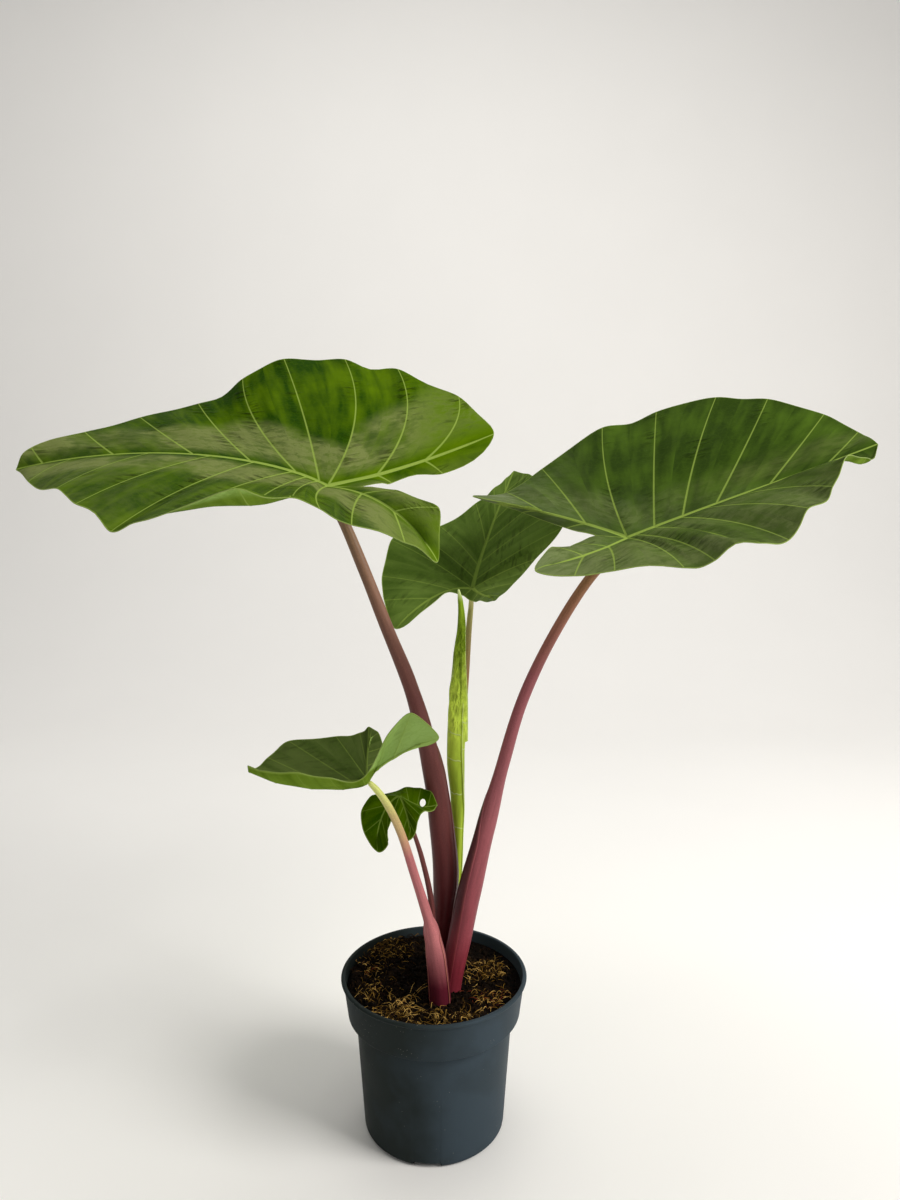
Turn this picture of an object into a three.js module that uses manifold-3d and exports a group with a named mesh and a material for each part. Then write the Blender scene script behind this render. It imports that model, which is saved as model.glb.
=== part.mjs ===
// Potted alocasia: five arrow-shaped leaves and a rolled new one in a plastic nursery pot.
// Millimetres, +Z up. The origin is the centre of the pot's foot, and the plant faces -Y.

import * as THREE from 'three';
import { mergeVertices } from 'three/addons/utils/BufferGeometryUtils.js';
import Module from 'manifold-3d';

const wasm = await Module();
wasm.setup();

// Pot
const RIM_RADIUS = 95;
const POT_HEIGHT = 158;
const WALL = 1.6;
const BAND_TOP_RADIUS = 92.4;
const BAND_FOOT_RADIUS = 88;
const BAND_HEIGHT = 39;
const BAND_BEVEL = 1;
const BODY_TOP_RADIUS = 80;
const BODY_FOOT_RADIUS = 72;
const SHOULDER_BEVEL = 1.5;
const LIP = 3.2;
const LIP_BEVEL = 0.6;
const FLOOR_UNDERSIDE = 4;
const FLOOR_TOP = 6.4;
const FLOOR_BEVEL = 2;
const FOOT_RING_OUTER = 69;
const FOOT_RING_INNER = 64;
const FOOT_BEVEL = 3;
const CENTRE_PAD_RADIUS = 14;
const FOOT_NOTCHES = 4;
const NOTCH_WIDTH = 26;
const NOTCH_HEIGHT = 5;
const NOTCH_REACH = 24;
const NOTCH_TURN = 0.08;
const DRAIN_HOLES = 8;
const DRAIN_HOLE_RADIUS = 5;
const DRAIN_CIRCLE_RADIUS = 42;
const POT_SIDES = 60;
const HOLE_SIDES = 12;

// Soil and the play between neighbours
const SOIL_LEVEL = 147;
const SOIL_RINGS = [1, 0.92, 0.8, 0.68, 0.55, 0.4, 0.22, 0];
const SOIL_RELIEF = 2;
const BROAD_WAVE = 10;
const FINE_WAVE = 7;
const LEVEL_EDGE = 8;
const GAP = 0.3;
const STEM_DEPTH = 115;

// Leaf blades
const BLADE = 1.2;
const SMALL_BLADE = 0.9;
const KEEL = 2.2;
const SMALL_KEEL = 0.8;
const LOBE_VEINS = 6;
const RIB_REACH = 0.85;
const CURL_START = 0.72;
const FULL_SCALLOP = 60;
const CLOSEST_VEINS = 0.012;
const HOLE_DEPTH = 30;
const SAME_POINT = 1e-3;

const v3 = (x, y, z) => new THREE.Vector3(x, y, z);

// A vein: where it leaves the midrib (0 at the petiole, 1 at the tip), its end on the margin,
// how far it arches up, and how far the margin curls up there. Each half-blade lists its veins
// from the notch behind the petiole, round the lobe and on to the tip. The first seven leave the
// lobe's rib: the notch, two inner, the lobe's tip, two outer and the basal vein.
const vein = (from, x, y, z, arch = 0, curl = 0) => ({ from, end: v3(x, y, z), arch, curl });

const leftLeaf = {
  name: 'leaf_left',
  blade: BLADE,
  keel: KEEL,
  scallop: 3,
  wave: 4,
  up: v3(0, -0.05, 1),
  midrib: [v3(-103, 0, 652), v3(-163, 14, 686), v3(-309, 40, 700), v3(-432, 50, 671)],
  halves: [
    {
      rib: [v3(-25, 60, 671), v3(66, 120, 716)],
      sweep: 0.03,
      veins: [
        vein(0, -75, 8, 651),
        vein(0, -43, 42, 656, 1),
        vein(0, 9, 84, 670, 2),
        vein(0, 68, 122, 714),
        vein(0, 28, 160, 764, 2),
        vein(0, -45, 178, 797, 2),
        vein(0, -108, 185, 809, 2),
        vein(0.04, -180, 185, 810, 2),
        vein(0.14, -226, 170, 785, 2),
        vein(0.31, -272, 150, 752, 2),
        vein(0.49, -331, 128, 735, 1),
        vein(0.72, -381, 98, 716),
        vein(0.92, -422, 62, 698),
        vein(1, -432, 50, 671),
      ],
    },
    {
      rib: [v3(-33, -60, 644), v3(7, -140, 584)],
      sweep: 0.08,
      veins: [
        vein(0, -75, 8, 651),
        vein(0, -32, -34, 648, 2),
        vein(0, 7, -88, 629, 8),
        vein(0, 7, -140, 584, 8),
        vein(0, -20, -150, 600, 3),
        vein(0, -61, -155, 614, 3),
        vein(0, -86, -160, 626, 3),
        vein(0.05, -107, -165, 633, 6, 2),
        vein(0.1, -146, -178, 627, 6, 9),
        vein(0.16, -216, -170, 615, 8, 2),
        vein(0.3, -259, -140, 607, 6),
        vein(0.44, -300, -106, 634, 5),
        vein(0.62, -331, -74, 647, 4),
        vein(0.84, -384, -20, 655, 2),
        vein(1, -432, 50, 671),
      ],
    },
  ],
};

const rightLeaf = {
  name: 'leaf_right',
  blade: BLADE,
  keel: KEEL,
  scallop: 3,
  wave: 4,
  up: v3(0, -0.05, 1),
  midrib: [v3(190, 0, 602), v3(254, 10, 627), v3(367, 25, 665), v3(449, 35, 696)],
  halves: [
    {
      rib: [v3(132, 60, 628), v3(42, 105, 645)],
      sweep: 0.02,
      veins: [
        vein(0, 161, 8, 604),
        vein(0, 136, 42, 611, 1),
        vein(0, 94, 78, 628, 2),
        vein(0, 41, 105, 645),
        vein(0, 80, 132, 655, 2),
        vein(0, 123, 150, 678, 2),
        vein(0, 196, 172, 727, 2),
        vein(0.13, 260, 178, 748, 2),
        vein(0.25, 328, 172, 763, 2),
        vein(0.38, 381, 152, 759, 2),
        vein(0.58, 431, 118, 737, 1),
        vein(0.8, 449, 76, 713),
        vein(1, 449, 35, 696),
      ],
    },
    {
      rib: [v3(147, -70, 588), v3(86, -128, 577)],
      sweep: 0.06,
      veins: [
        vein(0, 161, 8, 604),
        vein(0, 133, -34, 597, 2),
        vein(0, 106, -80, 595, 3),
        vein(0, 86, -128, 577, 3),
        vein(0, 117, -142, 572, 3),
        vein(0, 148, -148, 577, 3),
        vein(0, 200, -160, 580, 4),
        vein(0.04, 223, -166, 586, 6),
        vein(0.13, 256, -168, 596, 6, 6),
        vein(0.24, 286, -150, 602, 6),
        vein(0.34, 311, -128, 626, 5),
        vein(0.48, 346, -98, 647, 4),
        vein(0.68, 371, -62, 674, 3, 2),
        vein(0.86, 415, -10, 675, 1),
        vein(1, 449, 35, 696),
      ],
    },
  ],
};

const rearLeaf = {
  name: 'leaf_rear',
  blade: BLADE,
  keel: KEEL,
  scallop: 2,
  wave: 3,
  up: v3(0, -0.5, 0.85),
  midrib: [v3(42, 130, 542), v3(52, 175, 577), v3(72, 235, 621), v3(101, 290, 686)],
  halves: [
    {
      rib: [v3(54, 150, 530), v3(75, 190, 526)],
      sweep: 0.05,
      veins: [
        vein(0, 32, 122, 534),
        vein(0, 42, 134, 527),
        vein(0, 52, 160, 525),
        vein(0, 68, 196, 521),
        vein(0, 77, 186, 528, 2),
        vein(0, 93, 170, 545, 3),
        vein(0, 118, 166, 574, 3),
        vein(0.08, 151, 180, 611, 4),
        vein(0.24, 151, 206, 635, 4),
        vein(0.42, 147, 232, 658, 3),
        vein(0.62, 135, 256, 674, 2),
        vein(0.84, 119, 276, 681),
        vein(1, 101, 290, 686),
      ],
    },
    {
      rib: [v3(1, 104, 549), v3(-41, 58, 505)],
      sweep: 0.05,
      veins: [
        vein(0, 32, 122, 534),
        vein(0, 12, 98, 540),
        vein(0, -14, 78, 521),
        vein(0, -41, 56, 505),
        vein(0, -55, 78, 533, 2),
        vein(0, -60, 112, 557, 3),
        vein(0, -52, 150, 597, 3),
        vein(0.1, -29, 178, 608, 3),
        vein(0.22, 4, 206, 613, 3),
        vein(0.42, 49, 240, 642, 3),
        vein(0.64, 73, 262, 662, 2),
        vein(0.84, 90, 278, 676),
        vein(1, 101, 290, 686),
      ],
    },
  ],
};

const smallLeaf = {
  name: 'leaf_small',
  blade: SMALL_BLADE,
  keel: SMALL_KEEL,
  scallop: 1,
  wave: 2,
  up: v3(0, -0.35, 0.93),
  midrib: [v3(-60, -60, 378), v3(-95, -62, 375), v3(-133, -64, 379), v3(-169, -66, 388)],
  halves: [
    {
      rib: [v3(-65, -44, 396), v3(-59, -22, 415)],
      sweep: 0,
      veins: [
        vein(0, -56, -58, 385),
        vein(0, -52, -44, 391),
        vein(0, -48, -32, 401),
        vein(0, -53, -22, 413),
        vein(0, -63, -18, 418),
        vein(0, -72, -18, 412),
        vein(0, -95, -20, 409),
        vein(0.14, -140, -26, 406),
        vein(0.42, -158, -38, 393),
        vein(0.74, -167, -56, 385),
        vein(1, -169, -66, 388),
      ],
    },
    {
      rib: [v3(-48, -84, 404), v3(4, -108, 431)],
      sweep: 0,
      veins: [
        vein(0, -56, -58, 385),
        vein(0, -43, -76, 399),
        vein(0, -19, -94, 417),
        vein(0, 7, -108, 431),
        vein(0, -17, -108, 453),
        vein(0, -38, -98, 432),
        vein(0, -62, -88, 389, -6),
        vein(0.14, -91, -90, 390, -10),
        vein(0.4, -121, -90, 395, -12),
        vein(0.72, -150, -80, 391, -6),
        vein(1, -169, -66, 388),
      ],
    },
  ],
};

const tinyLeaf = {
  name: 'leaf_tiny',
  blade: SMALL_BLADE,
  keel: SMALL_KEEL,
  scallop: 0.5,
  wave: 1,
  up: v3(0, -0.5, 0.85),
  hole: { centre: v3(-10.5, -14, 339.5), radius: 3.2 },
  midrib: [v3(-33, -24, 351), v3(-25, -20, 346), v3(-13, -20, 333), v3(4, -16, 339)],
  halves: [
    {
      rib: [v3(-54, -24, 340), v3(-55, -42, 302)],
      sweep: 0,
      veins: [
        vein(0, -41, -36, 330),
        vein(0, -44, -42, 319),
        vein(0, -43, -46, 310),
        vein(0, -53, -46, 303),
        vein(0, -67, -34, 317),
        vein(0, -71, -22, 334),
        vein(0, -62, -10, 346),
        vein(0.12, -44, -4, 347),
        vein(0.32, -28, 2, 351),
        vein(0.56, -13, -1, 351),
        vein(0.8, -2, -10, 350),
        vein(1, 4, -16, 339),
      ],
    },
    {
      rib: [v3(-24, -32, 337), v3(-21, -46, 317)],
      sweep: 0,
      veins: [
        vein(0, -41, -36, 330),
        vein(0, -36, -40, 326),
        vein(0, -30, -45, 318),
        vein(0, -23, -48, 315),
        vein(0, -17, -46, 321),
        vein(0, -15, -44, 330),
        vein(0, -12, -40, 337),
        vein(0.3, -8, -34, 339),
        vein(0.7, 0, -24, 336),
        vein(1, 4, -16, 339),
      ],
    },
  ],
};

// Stems, from the soil up: a place on the centre line and the radius there.
const station = (x, y, z, radius) => ({ place: v3(x, y, z), radius });

const leftPetiole = {
  name: 'petiole_left',
  leaf: leftLeaf,
  head: 3.4,
  standOff: 0.2,
  stations: [
    station(4, 6, SOIL_LEVEL, 9.5),
    station(9, 6, 209, 10.5),
    station(12, 5, 257, 13),
    station(8, 4, 307, 12.4),
    station(1, 3, 359, 11),
    station(-10, 2, 409, 9),
    station(-24, 1, 457, 7.4),
    station(-46, 0, 513, 6.4),
    station(-67, -1, 568, 5.9),
    station(-88, -1, 619, 5.4),
  ],
};

const rightPetiole = {
  name: 'petiole_right',
  leaf: rightLeaf,
  head: 3.4,
  standOff: 0.2,
  stations: [
    station(17, -15, SOIL_LEVEL, 10.5),
    station(28, -15, 209, 11.6),
    station(36, -15, 249, 11.6),
    station(52, -13, 314, 9.3),
    station(69, -11, 379, 6.4),
    station(88, -8, 442, 5.7),
    station(118, -5, 506, 5.2),
    station(157, -3, 567, 5),
  ],
};

const rearPetiole = {
  name: 'petiole_rear',
  leaf: rearLeaf,
  head: 2.6,
  standOff: 2.4,
  stations: [
    station(8, 27, SOIL_LEVEL, 5.5),
    station(21, 66, 290, 4.5),
    station(34, 120, 434, 3.6),
    station(39, 148, 500, 3.4),
    station(41, 152, 520, 3),
  ],
};

const smallPetiole = {
  name: 'petiole_small',
  leaf: smallLeaf,
  head: 2.2,
  standOff: 0.2,
  stations: [
    station(6.5, -36, SOIL_LEVEL, 10.5),
    station(3, -39, 191, 9.3),
    station(-1, -42, 219, 7.3),
    station(-5, -44, 237, 5),
    station(-17, -49, 280, 4.3),
    station(-30, -54, 325, 3.9),
    station(-41, -57, 351, 3.7),
    station(-51, -59, 367, 3.2),
  ],
};

const tinyPetiole = {
  name: 'petiole_tiny',
  leaf: tinyLeaf,
  head: 1.2,
  standOff: 4.1,
  stations: [
    station(-1, -17, SOIL_LEVEL, 3.5),
    station(-2, -19, 237, 3),
    station(-11, -20, 284, 2.5),
    station(-19, -17, 309, 2.1),
    station(-28, -11, 329, 1.5),
  ],
};

const rolledLeaf = {
  name: 'rolled_leaf',
  stations: [
    station(19, 20, SOIL_LEVEL, 4.5),
    station(25, 21, 283, 4.8),
    station(24, 23, 330, 7),
    station(22, 24, 372, 9),
    station(23, 25, 409, 9.4),
    station(24, 26, 445, 8),
    station(26, 27, 482, 6.2),
    station(28, 28, 507, 4.4),
    station(27, 29, 536, 2.6),
    station(25, 30, 549, 1.2),
  ],
};

// Materials
const finish = (color, roughness) => new THREE.MeshStandardMaterial({ color, roughness, metalness: 0 });
const potPlastic = finish(0x2d373e, 0.55);
const peat = finish(0x2a1b12, 0.95);
const bladeGreen = finish(0x3f6620, 0.42);
const rearGreen = finish(0x35551d, 0.5);
const youngGreen = finish(0x7fa02a, 0.45);
const maroon = finish(0x4a2428, 0.5);
const redMaroon = finish(0x7a3238, 0.45);
const olivePink = finish(0x7d6a3a, 0.5);
const pinkGreen = finish(0xc4966f, 0.5);
const redBrown = finish(0x5d2a20, 0.5);

// Solids from a list of points and triangles, and cuts between solids
function geometryOf(points, triangles) {
  const geometry = new THREE.BufferGeometry();
  geometry.setAttribute('position', new THREE.Float32BufferAttribute(points.flatMap((p) => p.toArray()), 3));
  geometry.setIndex(triangles.flat());
  return geometry;
}

function solidOf(geometry) {
  const bare = geometry.clone();
  bare.deleteAttribute('normal');
  bare.deleteAttribute('uv');
  const merged = mergeVertices(bare, SAME_POINT);
  const vertProperties = new Float32Array(merged.attributes.position.array);
  const triVerts = new Uint32Array(withoutSlivers(merged.index.array));
  return new wasm.Manifold(new wasm.Mesh({ numProp: 3, vertProperties, triVerts }));
}

function withoutSlivers(index) {
  const kept = [];
  for (let i = 0; i < index.length; i += 3) {
    const [a, b, c] = index.slice(i, i + 3);
    if (a !== b && b !== c && c !== a) kept.push(a, b, c);
  }
  return kept;
}

function geometryFrom(solid) {
  const mesh = solid.getMesh();
  const geometry = new THREE.BufferGeometry();
  geometry.setAttribute('position', new THREE.BufferAttribute(mesh.vertProperties, 3));
  geometry.setIndex(new THREE.BufferAttribute(mesh.triVerts, 1));
  return geometry;
}

// Sheets: points are shared by their place, so neighbouring strips join without a seam.
class Sheet {
  points = [];
  drops = [];
  triangles = [];
  places = new Map();

  point(p, drop) {
    const key = p.toArray().map((c) => Math.round(c / SAME_POINT)).join();
    if (!this.places.has(key)) {
      this.places.set(key, this.points.length);
      this.points.push(p);
      this.drops.push(drop);
    }
    return this.places.get(key);
  }

  triangle(a, b, c) {
    if (a !== b && b !== c && c !== a) this.triangles.push([a, b, c]);
  }

  normals() {
    const normals = this.points.map(() => v3(0, 0, 0));
    for (const corners of this.triangles) {
      const [a, b, c] = corners.map((i) => this.points[i]);
      const across = b.clone().sub(a).cross(c.clone().sub(a));
      corners.forEach((i) => normals[i].add(across));
    }
    return normals.map((n) => n.normalize());
  }

  rimEdges() {
    const seen = new Map();
    for (const [a, b, c] of this.triangles) {
      for (const [from, to] of [[a, b], [b, c], [c, a]]) seen.set(`${from},${to}`, [from, to]);
    }
    return [...seen.values()].filter(([from, to]) => !seen.has(`${to},${from}`));
  }

  underside() {
    const normals = this.normals();
    return this.points.map((p, i) => p.clone().addScaledVector(normals[i], -this.drops[i]));
  }

  // The upper face is the sheet, the lower face lies under it, and a wall joins them at the rim.
  thickened() {
    const count = this.points.length;
    const lower = this.triangles.map(([a, b, c]) => [a + count, c + count, b + count]);
    const wall = this.rimEdges().flatMap(([a, b]) => [[a, a + count, b + count], [a, b + count, b]]);
    return geometryOf([...this.points, ...this.underside()], [...this.triangles, ...lower, ...wall]);
  }
}

// Leaf blades
function stationsAlongMidrib(halves) {
  const marks = halves.flatMap(({ veins }) => {
    const roots = veins.slice(LOBE_VEINS).map((v) => v.from);
    return roots.flatMap((root, i) => (i ? [(root + roots[i - 1]) / 2, root] : [root]));
  });
  marks.sort((a, b) => a - b);
  return marks.filter((mark, i) => i === 0 || mark - marks[i - 1] > CLOSEST_VEINS);
}

function veinAtRoot(veins, root) {
  let i = LOBE_VEINS;
  while (i < veins.length - 2 && veins[i + 1].from < root) i += 1;
  return i + (root - veins[i].from) / (veins[i + 1].from - veins[i].from);
}

function smoothStep(x) {
  const t = THREE.MathUtils.clamp(x, 0, 1);
  return t * t * (3 - 2 * t);
}

const splineThrough = (points) => new THREE.CatmullRomCurve3(points, false, 'catmullrom', 0.5);

function halfBlade(leaf, half) {
  const midrib = new THREE.CubicBezierCurve3(...leaf.midrib);
  const rib = new THREE.QuadraticBezierCurve3(leaf.midrib[0], ...half.rib);
  const margin = splineThrough(half.veins.map((v) => v.end));
  const bend = splineThrough(half.veins.map((v) => v3(v.arch, v.curl, 0)));
  const axis = leaf.midrib[3].clone().sub(leaf.midrib[0]).normalize();
  const last = half.veins.length - 1;
  const lobeTip = LOBE_VEINS / 2;

  // s counts the veins: whole numbers lie on a vein, halves between two. The margin is drawn in
  // and hangs lower between the veins.
  return function pointsOfVein(s, root, steps) {
    const alongRib = RIB_REACH * (1 - Math.abs(s - lobeTip) / lobeTip);
    const start = s <= LOBE_VEINS ? rib.getPoint(alongRib) : midrib.getPoint(root);
    const end = margin.getPoint(s / last);
    const reach = end.distanceTo(start);
    const between = Math.sin(Math.PI * s) ** 2 * THREE.MathUtils.clamp(Math.min(s, last - s), 0, 1);
    const notch = leaf.scallop * between * Math.min(1, reach / FULL_SCALLOP);
    if (reach > 0) end.addScaledVector(end.clone().sub(start).normalize(), -notch);
    const { x: arch, y: curl } = bend.getPoint(s / last);
    const forward = THREE.MathUtils.clamp((s - 4) / 2, 0, 1) * half.sweep * reach;
    const middle = start.clone().lerp(end, 0.5);
    middle.addScaledVector(leaf.up, arch).addScaledVector(axis, forward);
    const line = new THREE.QuadraticBezierCurve3(start, middle, end);
    return Array.from({ length: steps + 1 }, (_, i) => {
      const t = i / steps;
      const lift = curl * smoothStep((t - CURL_START) / (1 - CURL_START));
      return line.getPoint(t).addScaledVector(leaf.up, lift - leaf.wave * between * t ** 3);
    });
  };
}

function leafSheet(leaf, { lobeRows, steps }) {
  const sheet = new Sheet();
  const roots = stationsAlongMidrib(leaf.halves);
  for (const half of leaf.halves) {
    const pointsOfVein = halfBlade(leaf, half);
    const rows = [];
    for (let i = 0; i < LOBE_VEINS * lobeRows; i += 1) rows.push({ s: i / lobeRows, root: 0 });
    for (const root of roots) rows.push({ s: veinAtRoot(half.veins, root), root });
    const indices = rows.map(({ s, root }) =>
      pointsOfVein(s, root, steps).map((p, j) => {
        const nearRib = (1 - j / steps) ** 4 * (1 - root) ** 0.5;
        return sheet.point(p, leaf.blade + leaf.keel * nearRib);
      }));
    addStrip(sheet, indices, leaf.up);
  }
  return sheet;
}

// Triangles between the rows of one half-blade, turned so that its upper side faces up.
function addStrip(sheet, rows, up) {
  const strip = [];
  for (let i = 0; i < rows.length - 1; i += 1) {
    for (let j = 0; j < rows[i].length - 1; j += 1) {
      const [a, b, c, d] = [rows[i][j], rows[i + 1][j], rows[i + 1][j + 1], rows[i][j + 1]];
      strip.push([a, b, c], [a, c, d]);
    }
  }
  const total = v3(0, 0, 0);
  for (const corners of strip) {
    const [a, b, c] = corners.map((k) => sheet.points[k]);
    total.add(b.clone().sub(a).cross(c.clone().sub(a)));
  }
  const flip = total.dot(up) < 0;
  for (const [a, b, c] of strip) sheet.triangle(a, flip ? c : b, flip ? b : c);
}

// The closed blade, with its hole cut through from front to back where it has one.
function bladeGeometry(leaf, sheet) {
  const blade = sheet.thickened();
  if (!leaf.hole) return blade;
  const cutter = new THREE.CylinderGeometry(leaf.hole.radius, leaf.hole.radius, HOLE_DEPTH, HOLE_SIDES);
  cutter.translate(...leaf.hole.centre);
  return geometryFrom(solidOf(blade).subtract(solidOf(cutter)));
}

// The seat of a leaf's petiole: the point under its blade where the midrib starts.
function seatUnder(leaf, sheet) {
  const i = sheet.point(leaf.midrib[0], 0);
  return { point: sheet.underside()[i], normal: sheet.normals()[i] };
}

// Stems: rings along a smooth line, a flat foot and a domed head
function sectionsAlong(stations, rings, domeRings, swell) {
  const path = new THREE.CatmullRomCurve3(stations.map((s) => s.place), false, 'centripetal');
  const last = stations.length - 1;
  const sections = [];
  for (let i = 0; i <= rings; i += 1) {
    const u = i / rings;
    const k = Math.min(Math.floor(u * last), last - 1);
    const blend = smoothStep(u * last - k);
    const radius = THREE.MathUtils.lerp(stations[k].radius, stations[k + 1].radius, blend) + swell;
    sections.push({ place: path.getPoint(u), along: path.getTangent(u), radius });
  }
  const { place, along, radius } = sections[rings];
  for (let i = 1; i < domeRings; i += 1) {
    const angle = (i / domeRings) * Math.PI / 2;
    const raised = place.clone().addScaledVector(along, radius * Math.sin(angle));
    sections.push({ place: raised, along, radius: radius * Math.cos(angle) });
  }
  return { sections, crown: place.clone().addScaledVector(along, radius) };
}

// A rolled stem's radius grows round the ring by its overlap, which leaves the roll's free edge.
function ringPoints({ place, along, radius }, sides, overlap) {
  const right = v3(1, 0, 0).addScaledVector(along, -along.x).normalize();
  const back = along.clone().cross(right);
  return Array.from({ length: sides }, (_, k) => {
    const angle = (k / sides) * 2 * Math.PI;
    const r = radius * (1 + overlap * (k / (sides - 1) - 0.5));
    const outward = right.clone().multiplyScalar(Math.cos(angle)).addScaledVector(back, Math.sin(angle));
    return place.clone().addScaledVector(outward, r);
  });
}

function taperedTube(stations, { sides, rings, domeRings = 3, overlap = 0, swell = 0 }) {
  const { sections, crown } = sectionsAlong(stations, rings, domeRings, swell);
  const points = sections.flatMap((section) => ringPoints(section, sides, overlap));
  const footPoint = points.push(sections[0].place) - 1;
  const crownPoint = points.push(crown) - 1;
  const top = (sections.length - 1) * sides;
  const triangles = [];
  for (let k = 0; k < sides; k += 1) {
    const next = (k + 1) % sides;
    triangles.push([footPoint, next, k], [top + k, top + next, crownPoint]);
    for (let low = 0; low < top; low += sides) {
      const high = low + sides;
      triangles.push([low + k, low + next, high + next], [low + k, high + next, high + k]);
    }
  }
  return geometryOf(points, triangles);
}

// A stem goes straight down into the soil below its first station. A petiole's domed head stands
// off from its blade's seat.
function stationsOfStem(stem, sheets, extraDepth = 0) {
  const { place, radius } = stem.stations[0];
  const stations = [station(place.x, place.y, STEM_DEPTH - extraDepth, radius), ...stem.stations];
  if (stem.leaf) {
    const seat = seatUnder(stem.leaf, sheets.get(stem.leaf));
    const end = seat.point.addScaledVector(seat.normal, -(stem.head + stem.standOff));
    stations.push({ place: end, radius: stem.head });
  }
  return stations;
}

// Pot
const BAND_FOOT = POT_HEIGHT - BAND_HEIGHT;
const asVectors = (corners) => corners.map(([r, z]) => new THREE.Vector2(r, z));

const potUnderside = [
  [0, 0],
  [CENTRE_PAD_RADIUS, 0],
  [CENTRE_PAD_RADIUS + 1, FLOOR_UNDERSIDE],
  [FOOT_RING_INNER - 1, FLOOR_UNDERSIDE],
  [FOOT_RING_INNER, 0],
];
const potOutside = [
  [FOOT_RING_OUTER, 0],
  [BODY_FOOT_RADIUS, FOOT_BEVEL],
  [BODY_TOP_RADIUS, BAND_FOOT - SHOULDER_BEVEL],
  [BODY_TOP_RADIUS + SHOULDER_BEVEL, BAND_FOOT],
  [BAND_FOOT_RADIUS - BAND_BEVEL, BAND_FOOT],
  [BAND_FOOT_RADIUS, BAND_FOOT + BAND_BEVEL],
  [BAND_TOP_RADIUS, POT_HEIGHT - LIP - BAND_BEVEL],
  [RIM_RADIUS - LIP_BEVEL, POT_HEIGHT - LIP],
  [RIM_RADIUS, POT_HEIGHT - LIP / 2],
  [RIM_RADIUS - LIP_BEVEL, POT_HEIGHT - LIP_BEVEL],
  [RIM_RADIUS - LIP / 2, POT_HEIGHT],
];
const potInside = [
  [BAND_TOP_RADIUS - WALL, POT_HEIGHT],
  [BAND_TOP_RADIUS - WALL - LIP_BEVEL, POT_HEIGHT - LIP],
  [BAND_FOOT_RADIUS - WALL, BAND_FOOT + WALL + BAND_BEVEL],
  [BODY_TOP_RADIUS - WALL + SHOULDER_BEVEL, BAND_FOOT + WALL],
  [BODY_TOP_RADIUS - WALL, BAND_FOOT + WALL - SHOULDER_BEVEL],
  [BODY_FOOT_RADIUS - WALL, FLOOR_TOP + FLOOR_BEVEL],
  [BODY_FOOT_RADIUS - WALL - FLOOR_BEVEL, FLOOR_TOP],
  [0, FLOOR_TOP],
];

function turned(profile, sides) {
  const geometry = new THREE.LatheGeometry(asVectors(profile), sides);
  geometry.rotateX(Math.PI / 2);
  return geometry;
}

function potGeometry() {
  let pot = solidOf(turned([...potUnderside, ...potOutside, ...potInside], POT_SIDES));
  for (let i = 0; i < FOOT_NOTCHES; i += 1) {
    const notch = new THREE.BoxGeometry(NOTCH_WIDTH, NOTCH_REACH, 2 * NOTCH_HEIGHT);
    notch.translate(0, -BODY_FOOT_RADIUS, 0);
    notch.rotateZ((i / FOOT_NOTCHES) * 2 * Math.PI - NOTCH_TURN);
    pot = pot.subtract(solidOf(notch));
  }
  for (let i = 0; i < DRAIN_HOLES; i += 1) {
    const angle = ((i + 0.5) / DRAIN_HOLES) * 2 * Math.PI;
    const hole = new THREE.CylinderGeometry(DRAIN_HOLE_RADIUS, DRAIN_HOLE_RADIUS, 4 * FLOOR_TOP, HOLE_SIDES);
    hole.rotateX(Math.PI / 2);
    hole.translate(DRAIN_CIRCLE_RADIUS * Math.cos(angle), DRAIN_CIRCLE_RADIUS * Math.sin(angle), 0);
    pot = pot.subtract(solidOf(hole));
  }
  return geometryFrom(pot);
}

// Soil fills the pot, with an uneven top that levels off at the wall, and a hole for each stem.
function soilRelief(x, y) {
  const broad = Math.sin(x / BROAD_WAVE + 1) * Math.cos(y / BROAD_WAVE);
  const fine = Math.sin((x + 2 * y) / FINE_WAVE);
  return SOIL_RELIEF * (0.6 * broad + 0.4 * fine);
}

function soilProfile() {
  const wall = [...potInside].reverse().map(([r, z]) => [Math.max(0, r - 2 * GAP), z + GAP]);
  const sunk = wall.filter(([, z]) => z < SOIL_LEVEL);
  const [lowRadius, low] = wall[sunk.length - 1];
  const [highRadius, high] = wall[sunk.length];
  const edge = THREE.MathUtils.mapLinear(SOIL_LEVEL, low, high, lowRadius, highRadius);
  return [...sunk, ...SOIL_RINGS.map((part) => [part * edge, SOIL_LEVEL])];
}

function soilGeometry(stems, sheets) {
  const body = turned(soilProfile(), POT_SIDES);
  const position = body.attributes.position;
  for (let i = 0; i < position.count; i += 1) {
    const [x, y, z] = [position.getX(i), position.getY(i), position.getZ(i)];
    const inland = smoothStep((BAND_FOOT_RADIUS - Math.hypot(x, y)) / LEVEL_EDGE);
    if (z > SOIL_LEVEL - GAP) position.setZ(i, z + soilRelief(x, y) * inland);
  }
  let soil = solidOf(body);
  for (const stem of stems) {
    const stations = stationsOfStem(stem, sheets, GAP);
    soil = soil.subtract(solidOf(taperedTube(stations, { ...stem.mesh, swell: GAP })));
  }
  return geometryFrom(soil);
}

function meshOf(name, geometry, material) {
  const mesh = new THREE.Mesh(geometry, material);
  mesh.name = name;
  return mesh;
}

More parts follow.
